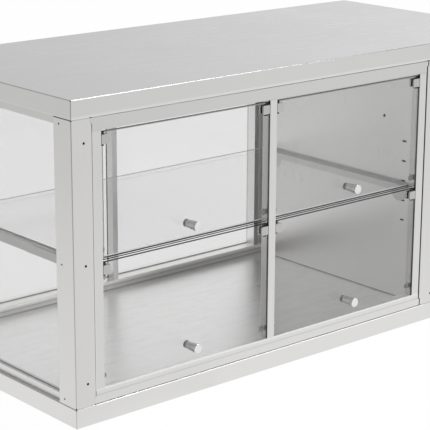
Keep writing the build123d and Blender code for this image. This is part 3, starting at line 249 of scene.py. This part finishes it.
class Finish:
    """A node tree under way, for a material or for the world, with one way to add a node to it."""

    def __init__(self, owner):
        owner.use_nodes = True
        self.owner = owner
        self.tree = owner.node_tree
        self.tree.nodes.clear()

    def add(self, kind, settings, sockets, output=0):
        """Adds a node, applies its settings, fills its sockets with values or links, gives one output."""
        node = self.tree.nodes.new(kind)
        for name, value in settings.items():
            if name == "stops":
                self.set_stops(node.color_ramp, value)
            else:
                setattr(node, name, value)
        for key, value in sockets.items():
            if isinstance(value, Value):
                self.tree.links.new(value.socket, node.inputs[key])
            else:
                node.inputs[key].default_value = value
        return Value(self, node.outputs[output]) if node.outputs else None

    def set_stops(self, ramp, stops):
        """Puts a ramp's two stops, given as pairs of place and grey level."""
        for element, (place, level) in zip(ramp.elements, stops):
            element.position = place
            element.color = (level, level, level, 1)

    def place(self):
        """The point on the surface, in the object's own coordinates."""
        return self.add("ShaderNodeTexCoord", {}, {}, "Object")

    def stretched(self, scale):
        """The point on the surface with its axes scaled one by one."""
        sockets = {"Vector": self.place(), "Scale": scale}
        return self.add("ShaderNodeMapping", {"vector_type": "POINT"}, sockets)

    def axis(self, letter):
        """One coordinate of the point on the surface."""
        return self.add("ShaderNodeSeparateXYZ", {}, {"Vector": self.place()}, letter)

    def facing(self, letter):
        """One coordinate of the surface's normal."""
        normal = self.add("ShaderNodeNewGeometry", {}, {}, "Normal")
        return self.add("ShaderNodeSeparateXYZ", {}, {"Vector": normal}, letter)

    def noise(self, vector, scale, detail=2.0, roughness=0.5):
        """Soft noise from 0 to 1 over a vector."""
        sockets = {"Vector": vector, "Scale": scale, "Detail": detail, "Roughness": roughness}
        return self.add("ShaderNodeTexNoise", {}, sockets)

    def ramp(self, value, *stops):
        """A value put through a ramp between two grey levels."""
        return self.add("ShaderNodeValToRGB", {"stops": stops}, {"Fac": value})

    def blend(self, share, first, second):
        """The first colour, with a share of the second in its place."""
        settings = {"data_type": "RGBA"}
        return self.add("ShaderNodeMix", settings, {0: share, 6: colour(first), 7: colour(second)}, 2)

    def vector(self, operation, sockets, output=0):
        """A sum on vectors or colours."""
        return self.add("ShaderNodeVectorMath", {"operation": operation}, sockets, output)

    def mixed(self, share, first, second):
        """The first shader, with a share of the second in its place."""
        return self.add("ShaderNodeMixShader", {}, {0: share, 1: first, 2: second})

    def clear(self, tint):
        """A shader that lets light straight through, tinted."""
        return self.add("ShaderNodeBsdfTransparent", {}, {"Color": colour(tint)})

    def bump(self, height, strength, distance):
        """The surface's normal, tilted by a height."""
        sockets = {"Height": height, "Strength": strength, "Distance": distance}
        return self.add("ShaderNodeBump", {}, sockets)

    def principled(self, **sockets):
        """The main shader. Its sockets are named with underscores for spaces."""
        named = {name.replace("_", " "): value for name, value in sockets.items()}
        return self.add("ShaderNodeBsdfPrincipled", {}, named)

    def finished(self, shader):
        """Ends the tree with its shader and gives the material."""
        owner_is_world = isinstance(self.owner, bpy.types.World)
        kind = "ShaderNodeOutputWorld" if owner_is_world else "ShaderNodeOutputMaterial"
        self.add(kind, {}, {"Surface": shader})
        return self.owner


def colour(value):
    """A grey level or a triple as a colour with full alpha, a link as it is."""
    if isinstance(value, Value):
        return value
    if isinstance(value, (int, float)):
        return (value, value, value, 1)
    return (*value, 1)


def material(name):
    """A new, empty material to put a finish on."""
    return Finish(bpy.data.materials.new(name))


def inside(finish, limits):
    """One where every limit of a mark or a strip holds, else nought."""
    held = 1.0
    for letter, low, high in limits:
        value = finish.facing(letter[1]) if letter.startswith("n") else finish.axis(letter)
        held = held * (value > low) * (value < high)
    return held


def satin_steel(name, tone, stretch, streaks=0.04, strokes=0.0, roughness=0.3, marks=(), corners=(),
                level_shade_tone=None):
    """Satin stainless sheet: fine grain drawn out along the sheet over a slow cloudy variation, and
    on level faces the short soft strokes that the finishing belt left. Folds at the case's ends are
    painted darker as painted shade, marks are painted shade or painted highlights, the case's corners
    are painted dark as painted shade where the seam lines meet, and level faces may take their own
    tone, on the hood a painted shade of the top."""
    finish = material(name)
    end_start, end_fold_shade, corner_shade = case_right - 0.006, 0.28, 0.9
    grain = finish.noise(finish.stretched(stretch), 1.0, 3.0, 0.6) - 0.5
    cloud = finish.noise(finish.place(), 3.2, 2.0) - 0.5
    patch = finish.noise(finish.stretched((14, 42, 42)), 1.0, 4.0, 0.7) - 0.5
    level = abs(finish.facing("Z")) > 0.7
    sideways = abs(finish.facing("X"))
    end_fold = (sideways > 0.25) * (sideways < 0.97) * (abs(finish.axis("X")) > end_start)
    shade = 1.0 + streaks * grain + 0.03 * cloud + level * patch * strokes
    # Folds at the case's ends are painted darker, a painted shade
    shade = shade * (1.0 - end_fold_shade * end_fold)
    # Each mark is painted shade, or a painted highlight where its share is below zero
    for share, *limits in marks:
        shade = shade * (1.0 - share * inside(finish, limits))
    # Each corner of the case at these heights is painted dark, a painted shade where the seam lines meet
    for height in corners:
        shade = shade * (1.0 - corner_shade * near_corner(finish, height))
    # Level faces may take their own tone; on the hood it is darker, a painted shade of the top
    if level_shade_tone:
        tone = finish.blend(level, tone, level_shade_tone)
    rough = roughness + 0.1 * grain + 0.06 * cloud + level * patch * (0.6 * strokes)
    shader = finish.principled(
        Base_Color=finish.vector("SCALE", {0: tone, "Scale": shade}), Metallic=1.0, Roughness=rough,
        Normal=finish.bump(grain, 0.03, 0.0002),
    )
    return finish.finished(shader)


def near_corner(finish, height):
    """One within a few millimetres of the case's corners at a height: the length from the point, with
    its X and Y made positive, to the corner is small."""
    corner, reach = (case_right, case_back, height), 0.0028
    positive = finish.vector("ABSOLUTE", {0: finish.place()})
    return finish.vector("DISTANCE", {0: positive, 1: corner}, "Value") < reach


def clear_glass(name, axis, low, high, tint, strips):
    """Float glass: clear through its faces, mirror-like at a low angle, deep grey in its edges.
    The share that it mirrors is a small one straight on, plus the fifth power of how far the face
    turns away. A point lies on an edge where its coordinate across the pane is inside the pane's two
    faces. The upright edges, those at the sill and those towards the back are polished clear. A strip
    is painted in its own tone, on a face too: a dark strip is painted shade, a pale one a painted
    highlight."""
    finish = material(name)
    skin, back_part = 0.0002, 0.2
    straight_mirror, grazing_mirror = 0.035, 0.96
    across = finish.axis(axis)
    edge = (across > low + skin) * (across < high - skin)
    smear = finish.noise(finish.place(), 5.0, 3.0)
    grazing = finish.add("ShaderNodeLayerWeight", {}, {"Blend": 0.5}, "Facing")
    sheen = finish.principled(
        Base_Color=(0.96, 0.96, 0.96, 1), Metallic=1.0, Roughness=0.02 + 0.04 * smear,
    )
    pane = finish.mixed(straight_mirror + grazing_mirror * grazing ** 5.0, finish.clear(tint), sheen)
    polished = (abs(finish.facing("X")) > 0.7) + (finish.axis("Z") < lower_pane_foot + skin)
    polished = (polished + (finish.axis("Y") > back_part)).within_one()
    edge = edge * (1.0 - polished)
    tone = finish.blend(smear, (0.02, 0.022, 0.022), (0.028, 0.031, 0.031))
    for strip_tone, *limits in strips:
        held = inside(finish, limits)
        tone = finish.blend(held, tone, strip_tone)
        edge = (edge + held).within_one()
    side = finish.principled(Base_Color=tone, Roughness=0.3, Specular_IOR_Level=0.1)
    return finish.finished(finish.mixed(edge, pane, side))


def polished_steel(name, dark, light):
    """Turned and polished stainless: fine rings round the turning axis, faint handling marks. Its
    flat faces towards Y take the light tone, a painted highlight, the rest the dark one."""
    finish = material(name)
    handling = finish.noise(finish.place(), 180.0, 3.0) - 0.5
    rings = finish.noise(finish.stretched((60, 2600, 60)), 1.0, 2.0)
    # The flat faces towards Y take the light tone, a painted highlight
    faced = abs(finish.facing("Y")) > 0.9
    shader = finish.principled(
        Base_Color=finish.blend((faced + 0.2 * handling).within_one(), dark, light), Metallic=1.0,
        Roughness=0.2 + 0.14 * rings, Normal=finish.bump(rings, 0.08, 0.0002),
    )
    return finish.finished(shader)


def black_rubber(name, washer_heights=()):
    """Black rubber with a dusty bloom and a fine pebbled skin. Between each pair of washer heights
    it is pale."""
    finish = material(name)
    bloom = finish.noise(finish.place(), 90.0, 3.0)
    skin = finish.noise(finish.place(), 1800.0, 2.0)
    tone = finish.blend(bloom, 0.012, 0.035)
    for low, high in washer_heights:
        tone = finish.blend(inside(finish, [("Z", low, high)]), tone, 0.4)
    shader = finish.principled(
        Base_Color=tone, Roughness=0.55 + 0.25 * bloom, Normal=finish.bump(skin, 0.25, 0.0003),
    )
    return finish.finished(shader)


def moulded_plastic(name, dark, light, roughness=0.42):
    """Moulded plastic: a fine sparked texture with a slightly uneven sheen."""
    finish = material(name)
    spark = finish.noise(finish.place(), 1400.0, 2.0)
    cloud = finish.noise(finish.place(), 40.0, 2.0)
    shader = finish.principled(
        Base_Color=finish.blend(cloud, dark, light),
        Roughness=roughness + 0.15 * (cloud - 0.5), Normal=finish.bump(spark, 0.2, 0.0002),
    )
    return finish.finished(shader)


def clear_silicone():
    """Silicone glazing seal: its inner lip has a pale dull skin, and it is nearly clear from the
    rear pane's face outwards."""
    finish = material("grey_silicone")
    cloud = finish.noise(finish.place(), 60.0, 3.0)
    tone = finish.blend(cloud, 0.78, 0.86)
    skin = finish.principled(Base_Color=tone, Roughness=0.45 + 0.15 * cloud, Specular_IOR_Level=0.2)
    clear_share = 0.15 + 0.8 * (finish.axis("Y") > rear_pane_face)
    return finish.finished(finish.mixed(clear_share, skin, finish.clear(0.95)))


def rigid_foam():
    """Cut polyurethane foam: open cells and a yellowed, uneven tone."""
    finish = material("foam")
    cells = finish.add("ShaderNodeTexVoronoi", {}, {"Vector": finish.place(), "Scale": 420.0})
    cloud = finish.noise(finish.place(), 14.0, 3.0)
    shader = finish.principled(
        Base_Color=finish.blend(cloud, (0.62, 0.5, 0.26), (0.78, 0.68, 0.42)),
        Roughness=0.9, Normal=finish.bump(cells, 0.6, 0.001),
    )
    return finish.finished(shader)


def copper_tube():
    """Drawn copper: bright metal that has browned in patches."""
    finish = material("copper")
    patch = finish.noise(finish.place(), 26.0, 4.0, 0.6)
    browned = finish.ramp(patch, (0.42, 0), (0.62, 1))
    shader = finish.principled(
        Base_Color=finish.blend(browned, (0.72, 0.36, 0.2), (0.3, 0.13, 0.07)),
        Metallic=1.0, Roughness=0.25 + 0.3 * patch,
    )
    return finish.finished(shader)


def black_enamel():
    """Black enamel: a slight orange peel and dust in it."""
    finish = material("black_paint")
    peel = finish.noise(finish.place(), 320.0, 1.0)
    dust = finish.noise(finish.place(), 30.0, 4.0)
    shader = finish.principled(
        Base_Color=finish.blend(dust, 0.012, 0.04), Roughness=0.22 + 0.3 * dust,
        Normal=finish.bump(peel, 0.12, 0.0004),
    )
    return finish.finished(shader)


def black_oxide():
    """Blackened screws: nearly no gloss, greyed a little by handling."""
    finish = material("black_screw")
    wear = finish.noise(finish.place(), 700.0, 3.0)
    shader = finish.principled(
        Base_Color=finish.blend(wear, 0.002, 0.012), Roughness=0.5 + 0.3 * wear, Specular_IOR_Level=0.12,
    )
    return finish.finished(shader)


def mill_aluminium():
    """Aluminium sheet as rolled, with faint lines and dulled patches."""
    finish = material("aluminium")
    lines = finish.noise(finish.stretched((40, 900, 900)), 1.0, 2.0)
    patch = finish.noise(finish.place(), 22.0, 3.0)
    shader = finish.principled(
        Base_Color=finish.blend(patch, 0.52, 0.72), Metallic=0.9, Roughness=0.3 + 0.2 * lines,
        Normal=finish.bump(lines, 0.06, 0.0002),
    )
    return finish.finished(shader)


def printing_ink(name, dark, light, roughness):
    """Printing ink, slightly uneven."""
    finish = material(name)
    patch = finish.noise(finish.place(), 900.0, 2.0)
    shader = finish.principled(Base_Color=finish.blend(patch, dark, light), Roughness=roughness)
    return finish.finished(shader)


def dress(nodes, names, finish):
    """Gives the named nodes a finish in every material slot they have."""
    for name in names:
        for slot in nodes[name].material_slots:
            slot.material = finish


def dress_steel(nodes):
    """Puts satin steel on every sheet, with the painted shade and painted highlights of the seam lines,
    folds and gaps that it lies at.
    """
    tone = (0.70, 0.695, 0.685)
    posts = [name for name in nodes if name.endswith("_post")]
    panels = ["machine_front_panel", "machine_side_panel", "machine_rear_panel"]
    dress(nodes, posts + panels, satin_steel(
        "steel_upright", tone, upright_grain, marks=(*seam_shade, post_seam_highlight, panel_seam_shade),
        corners=(hood_foot - 0.001, plinth_top + 0.0015),
    ))
    dress(nodes, ["door_left_stile", "door_right_stile", "door_mullion"], satin_steel(
        "steel_door", tone, upright_grain, marks=(*seam_shade, sill_seam_shade, post_seam_highlight, *stile_flank_shade),
    ))
    dress(nodes, ["door_top_rail", "door_bottom_rail", "side_rails"], satin_steel(
        "steel_level", (0.72, 0.715, 0.71), level_grain, marks=(*seam_shade, sill_seam_shade, *rail_painted_light),
    ))
    dress(nodes, ["rear_rails"], satin_steel(
        "steel_rear", tone, level_grain, marks=(*seam_shade, well_seam_shade, *rear_rail_painted_light),
    ))
    dress(nodes, ["rear_uprights"], satin_steel(
        "steel_rear_upright", (0.74, 0.735, 0.73), upright_grain, marks=rear_post_painted_light,
    ))
    # The hood's top takes the darker level tone, a painted shade
    dress(nodes, ["hood"], satin_steel(
        "steel_cover", (0.675, 0.67, 0.665), sheet_grain, strokes=0.5, marks=(*hood_painted_light, *hood_fade_shade),
        corners=(case_top,), level_shade_tone=(0.478, 0.47, 0.476),
    ))
    dress(nodes, ["plinth", "bottom_pan", "ceiling_liner"], satin_steel(
        "steel_base", (0.74, 0.735, 0.725), sheet_grain, strokes=0.3, marks=(plinth_fold_highlight,),
        corners=(plinth_top + 0.0005,),
    ))
    dress(nodes, ["well_floor"], satin_steel(
        "steel_well", (0.98, 0.975, 0.972), (8, 200, 200), strokes=0.35, roughness=0.32,
    ))
    dress(nodes, ["partition_wall"], satin_steel(
        "steel_wall", (0.8, 0.795, 0.79), (200, 200, 12), streaks=0.02, marks=(well_seam_shade,),
    ))
    dress(nodes, ["shelf_supports", "flap_stops"], satin_steel(
        "steel_rack", (0.56, 0.555, 0.55), (300, 20, 300),
    ))


def dress_panes(nodes):
    """Gives each pane the glass of its own thickness and direction."""
    flaps = [name for name in nodes if name.endswith("_flap_glass")]
    panes = (
        ("flap_glass", flaps, "Y", 0.937, flap_painted_shade),
        ("side_glass", ["side_glass"], "X", 0.91, ()),
        ("rear_glass", ["rear_glass"], "Y", 0.95, ()),
        ("shelf_glass", ["shelf_glass"], "Z", 0.955, shelf_painted_highlight),
    )
    for label, names, axis, tint, strips in panes:
        index = "XYZ".index(axis)
        low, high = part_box(names[0])
        dress(nodes, names, clear_glass(label, axis, low[index], high[index], tint, strips))


def dress_fittings(nodes):
    """Puts their finishes on the flaps' fittings, the seals and the insulation."""
    margin = 0.003
    knobs = [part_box(name) for name in ("lower_left_flap_knob", "upper_left_flap_knob")]
    washer_heights = [(low[2] - margin, high[2] + margin) for low, high in knobs]
    clamps = [name for name in nodes if name.endswith("_fittings")]
    gaskets = [name for name in nodes if name.endswith("_gaskets")]
    dress(nodes, clamps, polished_steel("polished_clamp", 0.5, 0.52))
    dress(nodes, gaskets, black_rubber("flap_rubber", washer_heights))
    dress(nodes, ["partition_insulation"], black_rubber("black_rubber"))
    dress(nodes, ["flap_buffers"], moulded_plastic("clear_rubber", 0.25, 0.36, 0.5))
    dress(nodes, ["glazing_seals"], clear_silicone())
    dress(nodes, ["hinge_bushes"], moulded_plastic("nylon", 0.7, 0.8))
    dress(nodes, ["base_insulation"], rigid_foam())


def dress_machine(nodes):
    """Puts their finishes on the cooling machine and its controls."""
    controls = ["fan_shroud", "thermostat", "switch_housing", "switch_rocker", "mains_inlet"]
    dress(nodes, ["evaporator_coil", "refrigerant_lines"], copper_tube())
    dress(nodes, ["compressor", "fan_motor"], black_enamel())
    dress(nodes, ["condenser", "fan_rotor"], mill_aluminium())
    dress(nodes, controls, moulded_plastic("black_plastic", 0.014, 0.03))


def add_piece(name, mesh, finish, body, replaced=None):
    """Puts a mesh into the scene as a piece with its finish, riding on a body. It stands for a node
    where one is named."""
    mesh.materials.clear()
    mesh.materials.append(finish)
    piece = bpy.data.objects.new(name, mesh)
    bpy.context.collection.objects.link(piece)
    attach(piece, body)
    if replaced:
        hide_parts(replaced)


def surface(name, points):
    """A mesh from grids of points, shaped (copies, rows, columns, 3): each cell of a grid is a face,
    and a row's last point joins its first. Faces point along rows cross columns."""
    copies, rows, columns, _ = points.shape
    row, column = np.meshgrid(np.arange(rows - 1), np.arange(columns), indexing="ij")
    here, after = row * columns, (column + 1) % columns
    below = here + columns
    cell = np.stack([here + column, here + after, below + after, below + column], axis=-1)
    first = np.arange(copies) * rows * columns
    faces = (cell.reshape(1, -1, 4) + first[:, None, None]).reshape(-1, 4)
    mesh = bpy.data.meshes.new(name)
    mesh.from_pydata(points.reshape(-1, 3).tolist(), [], faces.tolist())
    mesh.polygons.foreach_set("use_smooth", np.ones(len(faces), bool))
    return mesh


def middle_of(name):
    """The middle of a node's box."""
    low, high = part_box(name)
    return (low + high) / 2


def turned(profile, columns, radius_share=1.0):
    """A profile of (radius, depth) points carried round an axis: x is radius times cosine, z is
    radius times sine and y is the depth. The radius may be shared out by angle and row."""
    angle = np.arange(columns) * 2 * np.pi / columns
    radius = np.asarray(profile)[:, :1] * radius_share
    depth = np.broadcast_to(np.asarray(profile)[:, 1:], (len(profile), columns))
    return np.stack([radius * np.cos(angle), depth, radius * np.sin(angle)], axis=-1)


def rounded(centre, radius, start, end, steps=7):
    """Points of a round corner about a centre: radius times cosine and sine from one angle to another."""
    angle = np.radians(np.linspace(start, end, steps))
    return list(zip(centre[0] + radius * np.cos(angle), centre[1] + radius * np.sin(angle)))


def turn_knobs(nodes):
    """Knobs turned from bar: a rounded back edge, a straight taper, a rounded rim and a face with a
    shallow dish."""
    finish = polished_steel("polished_knob", 0.7, 0.8)
    columns, edge, neck_share = 72, 0.0012, 17.5 / 22
    for name in [name for name in nodes if name.endswith("_flap_knob")]:
        low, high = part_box(name)
        seat = ((low[0] + high[0]) / 2, high[1], (low[2] + high[2]) / 2)
        length, face = high[1] - low[1], (high[0] - low[0]) / 2
        neck = face * neck_share
        profile = [(pole, 0)] + rounded((neck - edge, edge), edge, -90, 0)
        profile += [(neck + (face - neck) * share, length * share) for share in (0.2, 0.45, 0.7, 0.9)]
        profile += rounded((face - edge, length - edge), edge, 0, 90)
        profile += [(face * 0.8, length - 0.0001), (face * 0.3, length - 0.0005), (pole, length - 0.0006)]
        points = turned(profile, columns) * (1, -1, 1) + seat
        body = name.removesuffix("_knob")
        piece = f"{body}_turned_knob"
        add_piece(piece, surface(piece, points[None, :, ::-1]), finish, body, name)


def screw_profile(radius):
    """A socket screw's head: its side, a chamfer, its flat end, the wall and cone of its socket."""
    depth, chamfer = 0.004, 0.0003
    return [
        (radius, depth), (radius, chamfer), (radius * 0.92, 0), (radius * 0.6, 0),
        (radius * 0.56, 0.0001), (radius * 0.56, radius * 0.5), (radius * 0.02, radius * 0.62),
    ]


def fit_screws():
    """Black socket screws of the posts and the front panel. The socket's rows are six-sided: their
    radius is divided by the cosine of the angle from the nearest flat's middle."""
    columns, socket_rows = 24, slice(3, 6)
    angle = np.arange(columns) * 2 * np.pi / columns
    share = np.ones((7, columns))
    share[socket_rows] = np.cos(np.pi / 6) / np.cos((angle + np.pi / 6) % (np.pi / 3) - np.pi / 6)
    middle, panel_middle = (plinth_top + hood_foot) / 2, middle_of("machine_front_panel")[0]
    posts = (case_left + post_screw_inset, case_right - post_screw_inset)
    ends = (case_front + end_screw_inset, case_back - end_screw_inset)
    panel = (panel_middle - panel_screw_spread, panel_middle + panel_screw_spread)
    post_heights = (middle - post_screw_reach, middle, middle + post_screw_reach)
    end_heights = (middle - end_screw_reach, middle, middle + end_screw_reach)
    panel_heights = (middle - panel_screw_reach, middle + panel_screw_reach)
    groups = (
        (product(posts, (case_front,), post_heights), 0, screw_radius),
        (product(panel, (case_front,), panel_heights), 0, screw_radius),
        (product(posts, (case_back,), post_heights), 180, screw_radius),
        (product((case_left,), ends, end_heights), -90, end_screw_radius),
        (product((case_right,), ends, end_heights), 90, end_screw_radius),
    )
    grids = []
    for places, turn, radius in groups:
        head = turned(screw_profile(radius), columns, share) + (0, screw_sunk, 0)
        head = head @ np.array(Matrix.Rotation(radians(turn), 3, "Z")).T
        grids.append(head[None] + np.array(list(places))[:, None, None])
    heads = surface("socket_screws", np.concatenate(grids))
    add_piece("socket_screws", heads, black_oxide(), "cabinet", "frame_screws")


def flute_dial():
    """Dial: a skirt with a rounded edge and a cap whose radius dips in twelve flutes. A flute's dip is
    a raised cosine of twelve times the angle, squared, and it fades into the top edge."""
    x, _, z = middle_of("thermostat")
    columns, flutes, dip_share = 192, 12, 0.09
    back, height, skirt, cap = case_front - 0.0013, 0.015, 0.0225, 0.02
    angle = np.arange(columns) * 2 * np.pi / columns
    dip = dip_share * ((1 + np.cos(flutes * angle)) / 2) ** 2
    profile = [(0.003, 0), (skirt, 0)] + rounded((skirt - 0.0005, 0.002), 0.001, -60, 80)
    skirt_rows = len(profile)
    profile += [(cap + 0.0002, 0.0034), (cap, 0.0044)]
    profile += rounded((cap - 0.002, height - 0.002), 0.0018, 0, 90)
    profile += [(cap * 0.6, height - 0.0006), (pole, height - 0.0009)]
    strength = np.zeros(len(profile))
    strength[skirt_rows:-2] = np.linspace(1, 0.5, len(profile) - skirt_rows - 2)
    strength[skirt_rows] = 0.5
    points = turned(profile, columns, 1 - dip * strength[:, None]) * (1, -1, 1) + (x, back, z)
    plastic = moulded_plastic("dial_plastic", 0.014, 0.028, 0.34)
    fluted = surface("fluted_dial", points[None, :, ::-1])
    add_piece("fluted_dial", fluted, plastic, "dial", "thermostat_dial")
    inlay_dial((x, back - height, z))


def inlay_dial(face):
    """Pointer let into the dial's face: a small round peg, drawn out along Z to a bar."""
    radius, depth, drawn, offset = 0.0009, 0.0004, 4.2, 0.0115
    peg = turned([(pole, 0), (radius, 0), (radius, depth), (pole, depth)], 24)
    points = peg * (1, -1, drawn) + (face[0], face[1] + radius, face[2] + offset)
    ink = printing_ink("white_print", 0.72, 0.85, 0.45)
    add_piece("dial_pointer", surface("dial_pointer", points[None, :, ::-1]), ink, "dial")


def print_marks():
    """Figures of the dial's scale on the front panel, and the switch's off and on marks."""
    ink = printing_ink("black_print", 0.015, 0.04, 0.5)
    x, _, z = middle_of("thermostat")
    for step in range(dial_figures):
        turn = np.radians(90 - step * dial_sweep / (dial_figures - 1))
        place = (x + dial_figures_radius * np.cos(turn), z + dial_figures_radius * np.sin(turn))
        print_figure(f"dial_figure_{step}", str(step), place, ink)
    x, _, z = middle_of("switch_housing")
    for label, offset in (("0", -switch_figures_reach), ("1", switch_figures_reach)):
        print_figure(f"switch_figure_{label}", label, (x + offset, z), ink)


def print_figure(name, text, place, ink):
    """A figure printed on the front panel, centred on a place in X and Z."""
    thickness = 0.00004
    curve = bpy.data.curves.new(name, "FONT")
    curve.body = text
    curve.size = figure_size
    curve.extrude = thickness
    curve.align_x, curve.align_y = "CENTER", "CENTER"
    letter = bpy.data.objects.new(name, curve)
    mesh = bpy.data.meshes.new_from_object(letter)
    bpy.data.objects.remove(letter)
    stand = Matrix.Translation((place[0], case_front - 1.5 * thickness, place[1]))
    mesh.transform(stand @ Matrix.Rotation(radians(90), 4, "X"))
    add_piece(name, mesh, ink, "cabinet")


def light_path(finish, kind):
    """One where the ray is of a kind, zero elsewhere."""
    return finish.add("ShaderNodeLightPath", {}, {}, kind)


def seen_straight(finish):
    """One where the camera looks, directly or through glass."""
    return (light_path(finish, "Is Camera Ray") + light_path(finish, "Is Transmission Ray")).within_one()


def studio(finish, way):
    """What metal mirrors of the studio in a direction: even walls with darker and lighter patches.
    A patch is the cosine between the direction and its middle, held above zero, to a power."""
    level = studio_level
    for aim, sharpness, amount in studio_patches:
        aimed = finish.vector("DOT_PRODUCT", {0: way, 1: aim}, "Value")
        level = level + amount * aimed.within_one() ** sharpness
    return level


def set_world():
    """White behind the case for the camera and the glass, the studio for what mirrors it, and a plain
    level of light from all sides for the rest."""
    finish = Finish(bpy.context.scene.world or bpy.data.worlds.new("world"))
    bpy.context.scene.world = finish.owner
    way = finish.add("ShaderNodeTexCoord", {}, {}, "Generated")
    seen = seen_straight(finish)
    mirrored = light_path(finish, "Is Glossy Ray")
    rest = 1.0 - (seen + mirrored).within_one()
    height = finish.add("ShaderNodeSeparateXYZ", {}, {"Vector": way}, "Z").within_one()
    strength = seen + mirrored * (studio(finish, way) - overhead_dimming * height) + rest * world_level
    finish.finished(finish.add("ShaderNodeBackground", {}, {"Color": colour(1.0), "Strength": strength}))


def lay_floor():
    """Pale floor under the case that still takes its shadow. Metal mirrors it white near the case and
    as the studio's walls farther out."""
    half = floor_size / 2
    mesh = bpy.data.meshes.new("floor")
    corners = [(-half, -half, 0), (half, -half, 0), (half, half, 0), (-half, half, 0)]
    mesh.from_pydata(corners, [], [(0, 1, 2, 3)])
    floor = bpy.data.objects.new("floor", mesh)
    bpy.context.collection.objects.link(floor)
    finish = material("floor")
    seen = seen_straight(finish)
    mirrored = light_path(finish, "Is Glossy Ray")
    way = finish.vector("NORMALIZE", {0: finish.place()})
    reach = finish.vector("LENGTH", {0: finish.place()}, "Value")
    far = ((reach - floor_near) / floor_fade).within_one()
    level = seen + mirrored * (1.0 - far + far * studio(finish, way))
    matt = finish.add("ShaderNodeBsdfDiffuse", {}, {"Color": colour(0.9)})
    white = finish.add("ShaderNodeEmission", {}, {"Color": colour(1.0), "Strength": level})
    share = (seen + mirrored).within_one() * floor_white_share
    mesh.materials.append(finish.finished(finish.mixed(share, matt, white)))


def hang_lamps():
    """Large soft lamps: a soft box high on the right that the bends of the hood mirror, a fill from
    the front left and one from behind."""
    for index, (place, aim, size, power, mirrored) in enumerate((soft_box, fill_lamp, rear_lamp)):
        lamp = bpy.data.lights.new(f"lamp_{index}", "AREA")
        lamp.shape = "DISK"
        lamp.size = size
        lamp.energy = power
        holder = bpy.data.objects.new(f"lamp_{index}", lamp)
        holder.matrix_world = Matrix.Translation(place) @ look_along(np.subtract(aim, place))
        holder.visible_glossy = mirrored
        holder.visible_camera = False
        bpy.context.collection.objects.link(holder)


def look_along(way):
    """Turn that points a lamp's -Z along a vector: turn round Z by its heading, then tilt by its slope."""
    heading = np.arctan2(-way[0], way[1])
    slope = np.arctan2(np.hypot(way[0], way[1]), -way[2])
    return Matrix.Rotation(heading, 4, "Z") @ Matrix.Rotation(slope, 4, "X")


def set_camera():
    """Camera at the photograph's angle: a turn round Z, a tilt down and a slight roll."""
    lens = bpy.data.cameras.new("camera")
    lens.lens = camera_lens
    lens.sensor_width = camera_sensor
    lens.clip_end = camera_reach
    camera = bpy.data.objects.new("camera", lens)
    turn = Matrix.Rotation(radians(-camera_yaw), 4, "Z")
    tilt = Matrix.Rotation(radians(90 - camera_pitch), 4, "X")
    roll = Matrix.Rotation(radians(camera_roll), 4, "Z")
    camera.matrix_world = Matrix.Translation(camera_place) @ turn @ tilt @ roll
    bpy.context.collection.objects.link(camera)
    bpy.context.scene.camera = camera


bpy.context.scene.view_settings.view_transform = "Standard"
set_camera()
set_world()
lay_floor()
hang_lamps()
dress_steel(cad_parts)
dress_panes(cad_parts)
dress_fittings(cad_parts)
dress_machine(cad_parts)
turn_knobs(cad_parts)
fit_screws()
flute_dial()
print_marks()
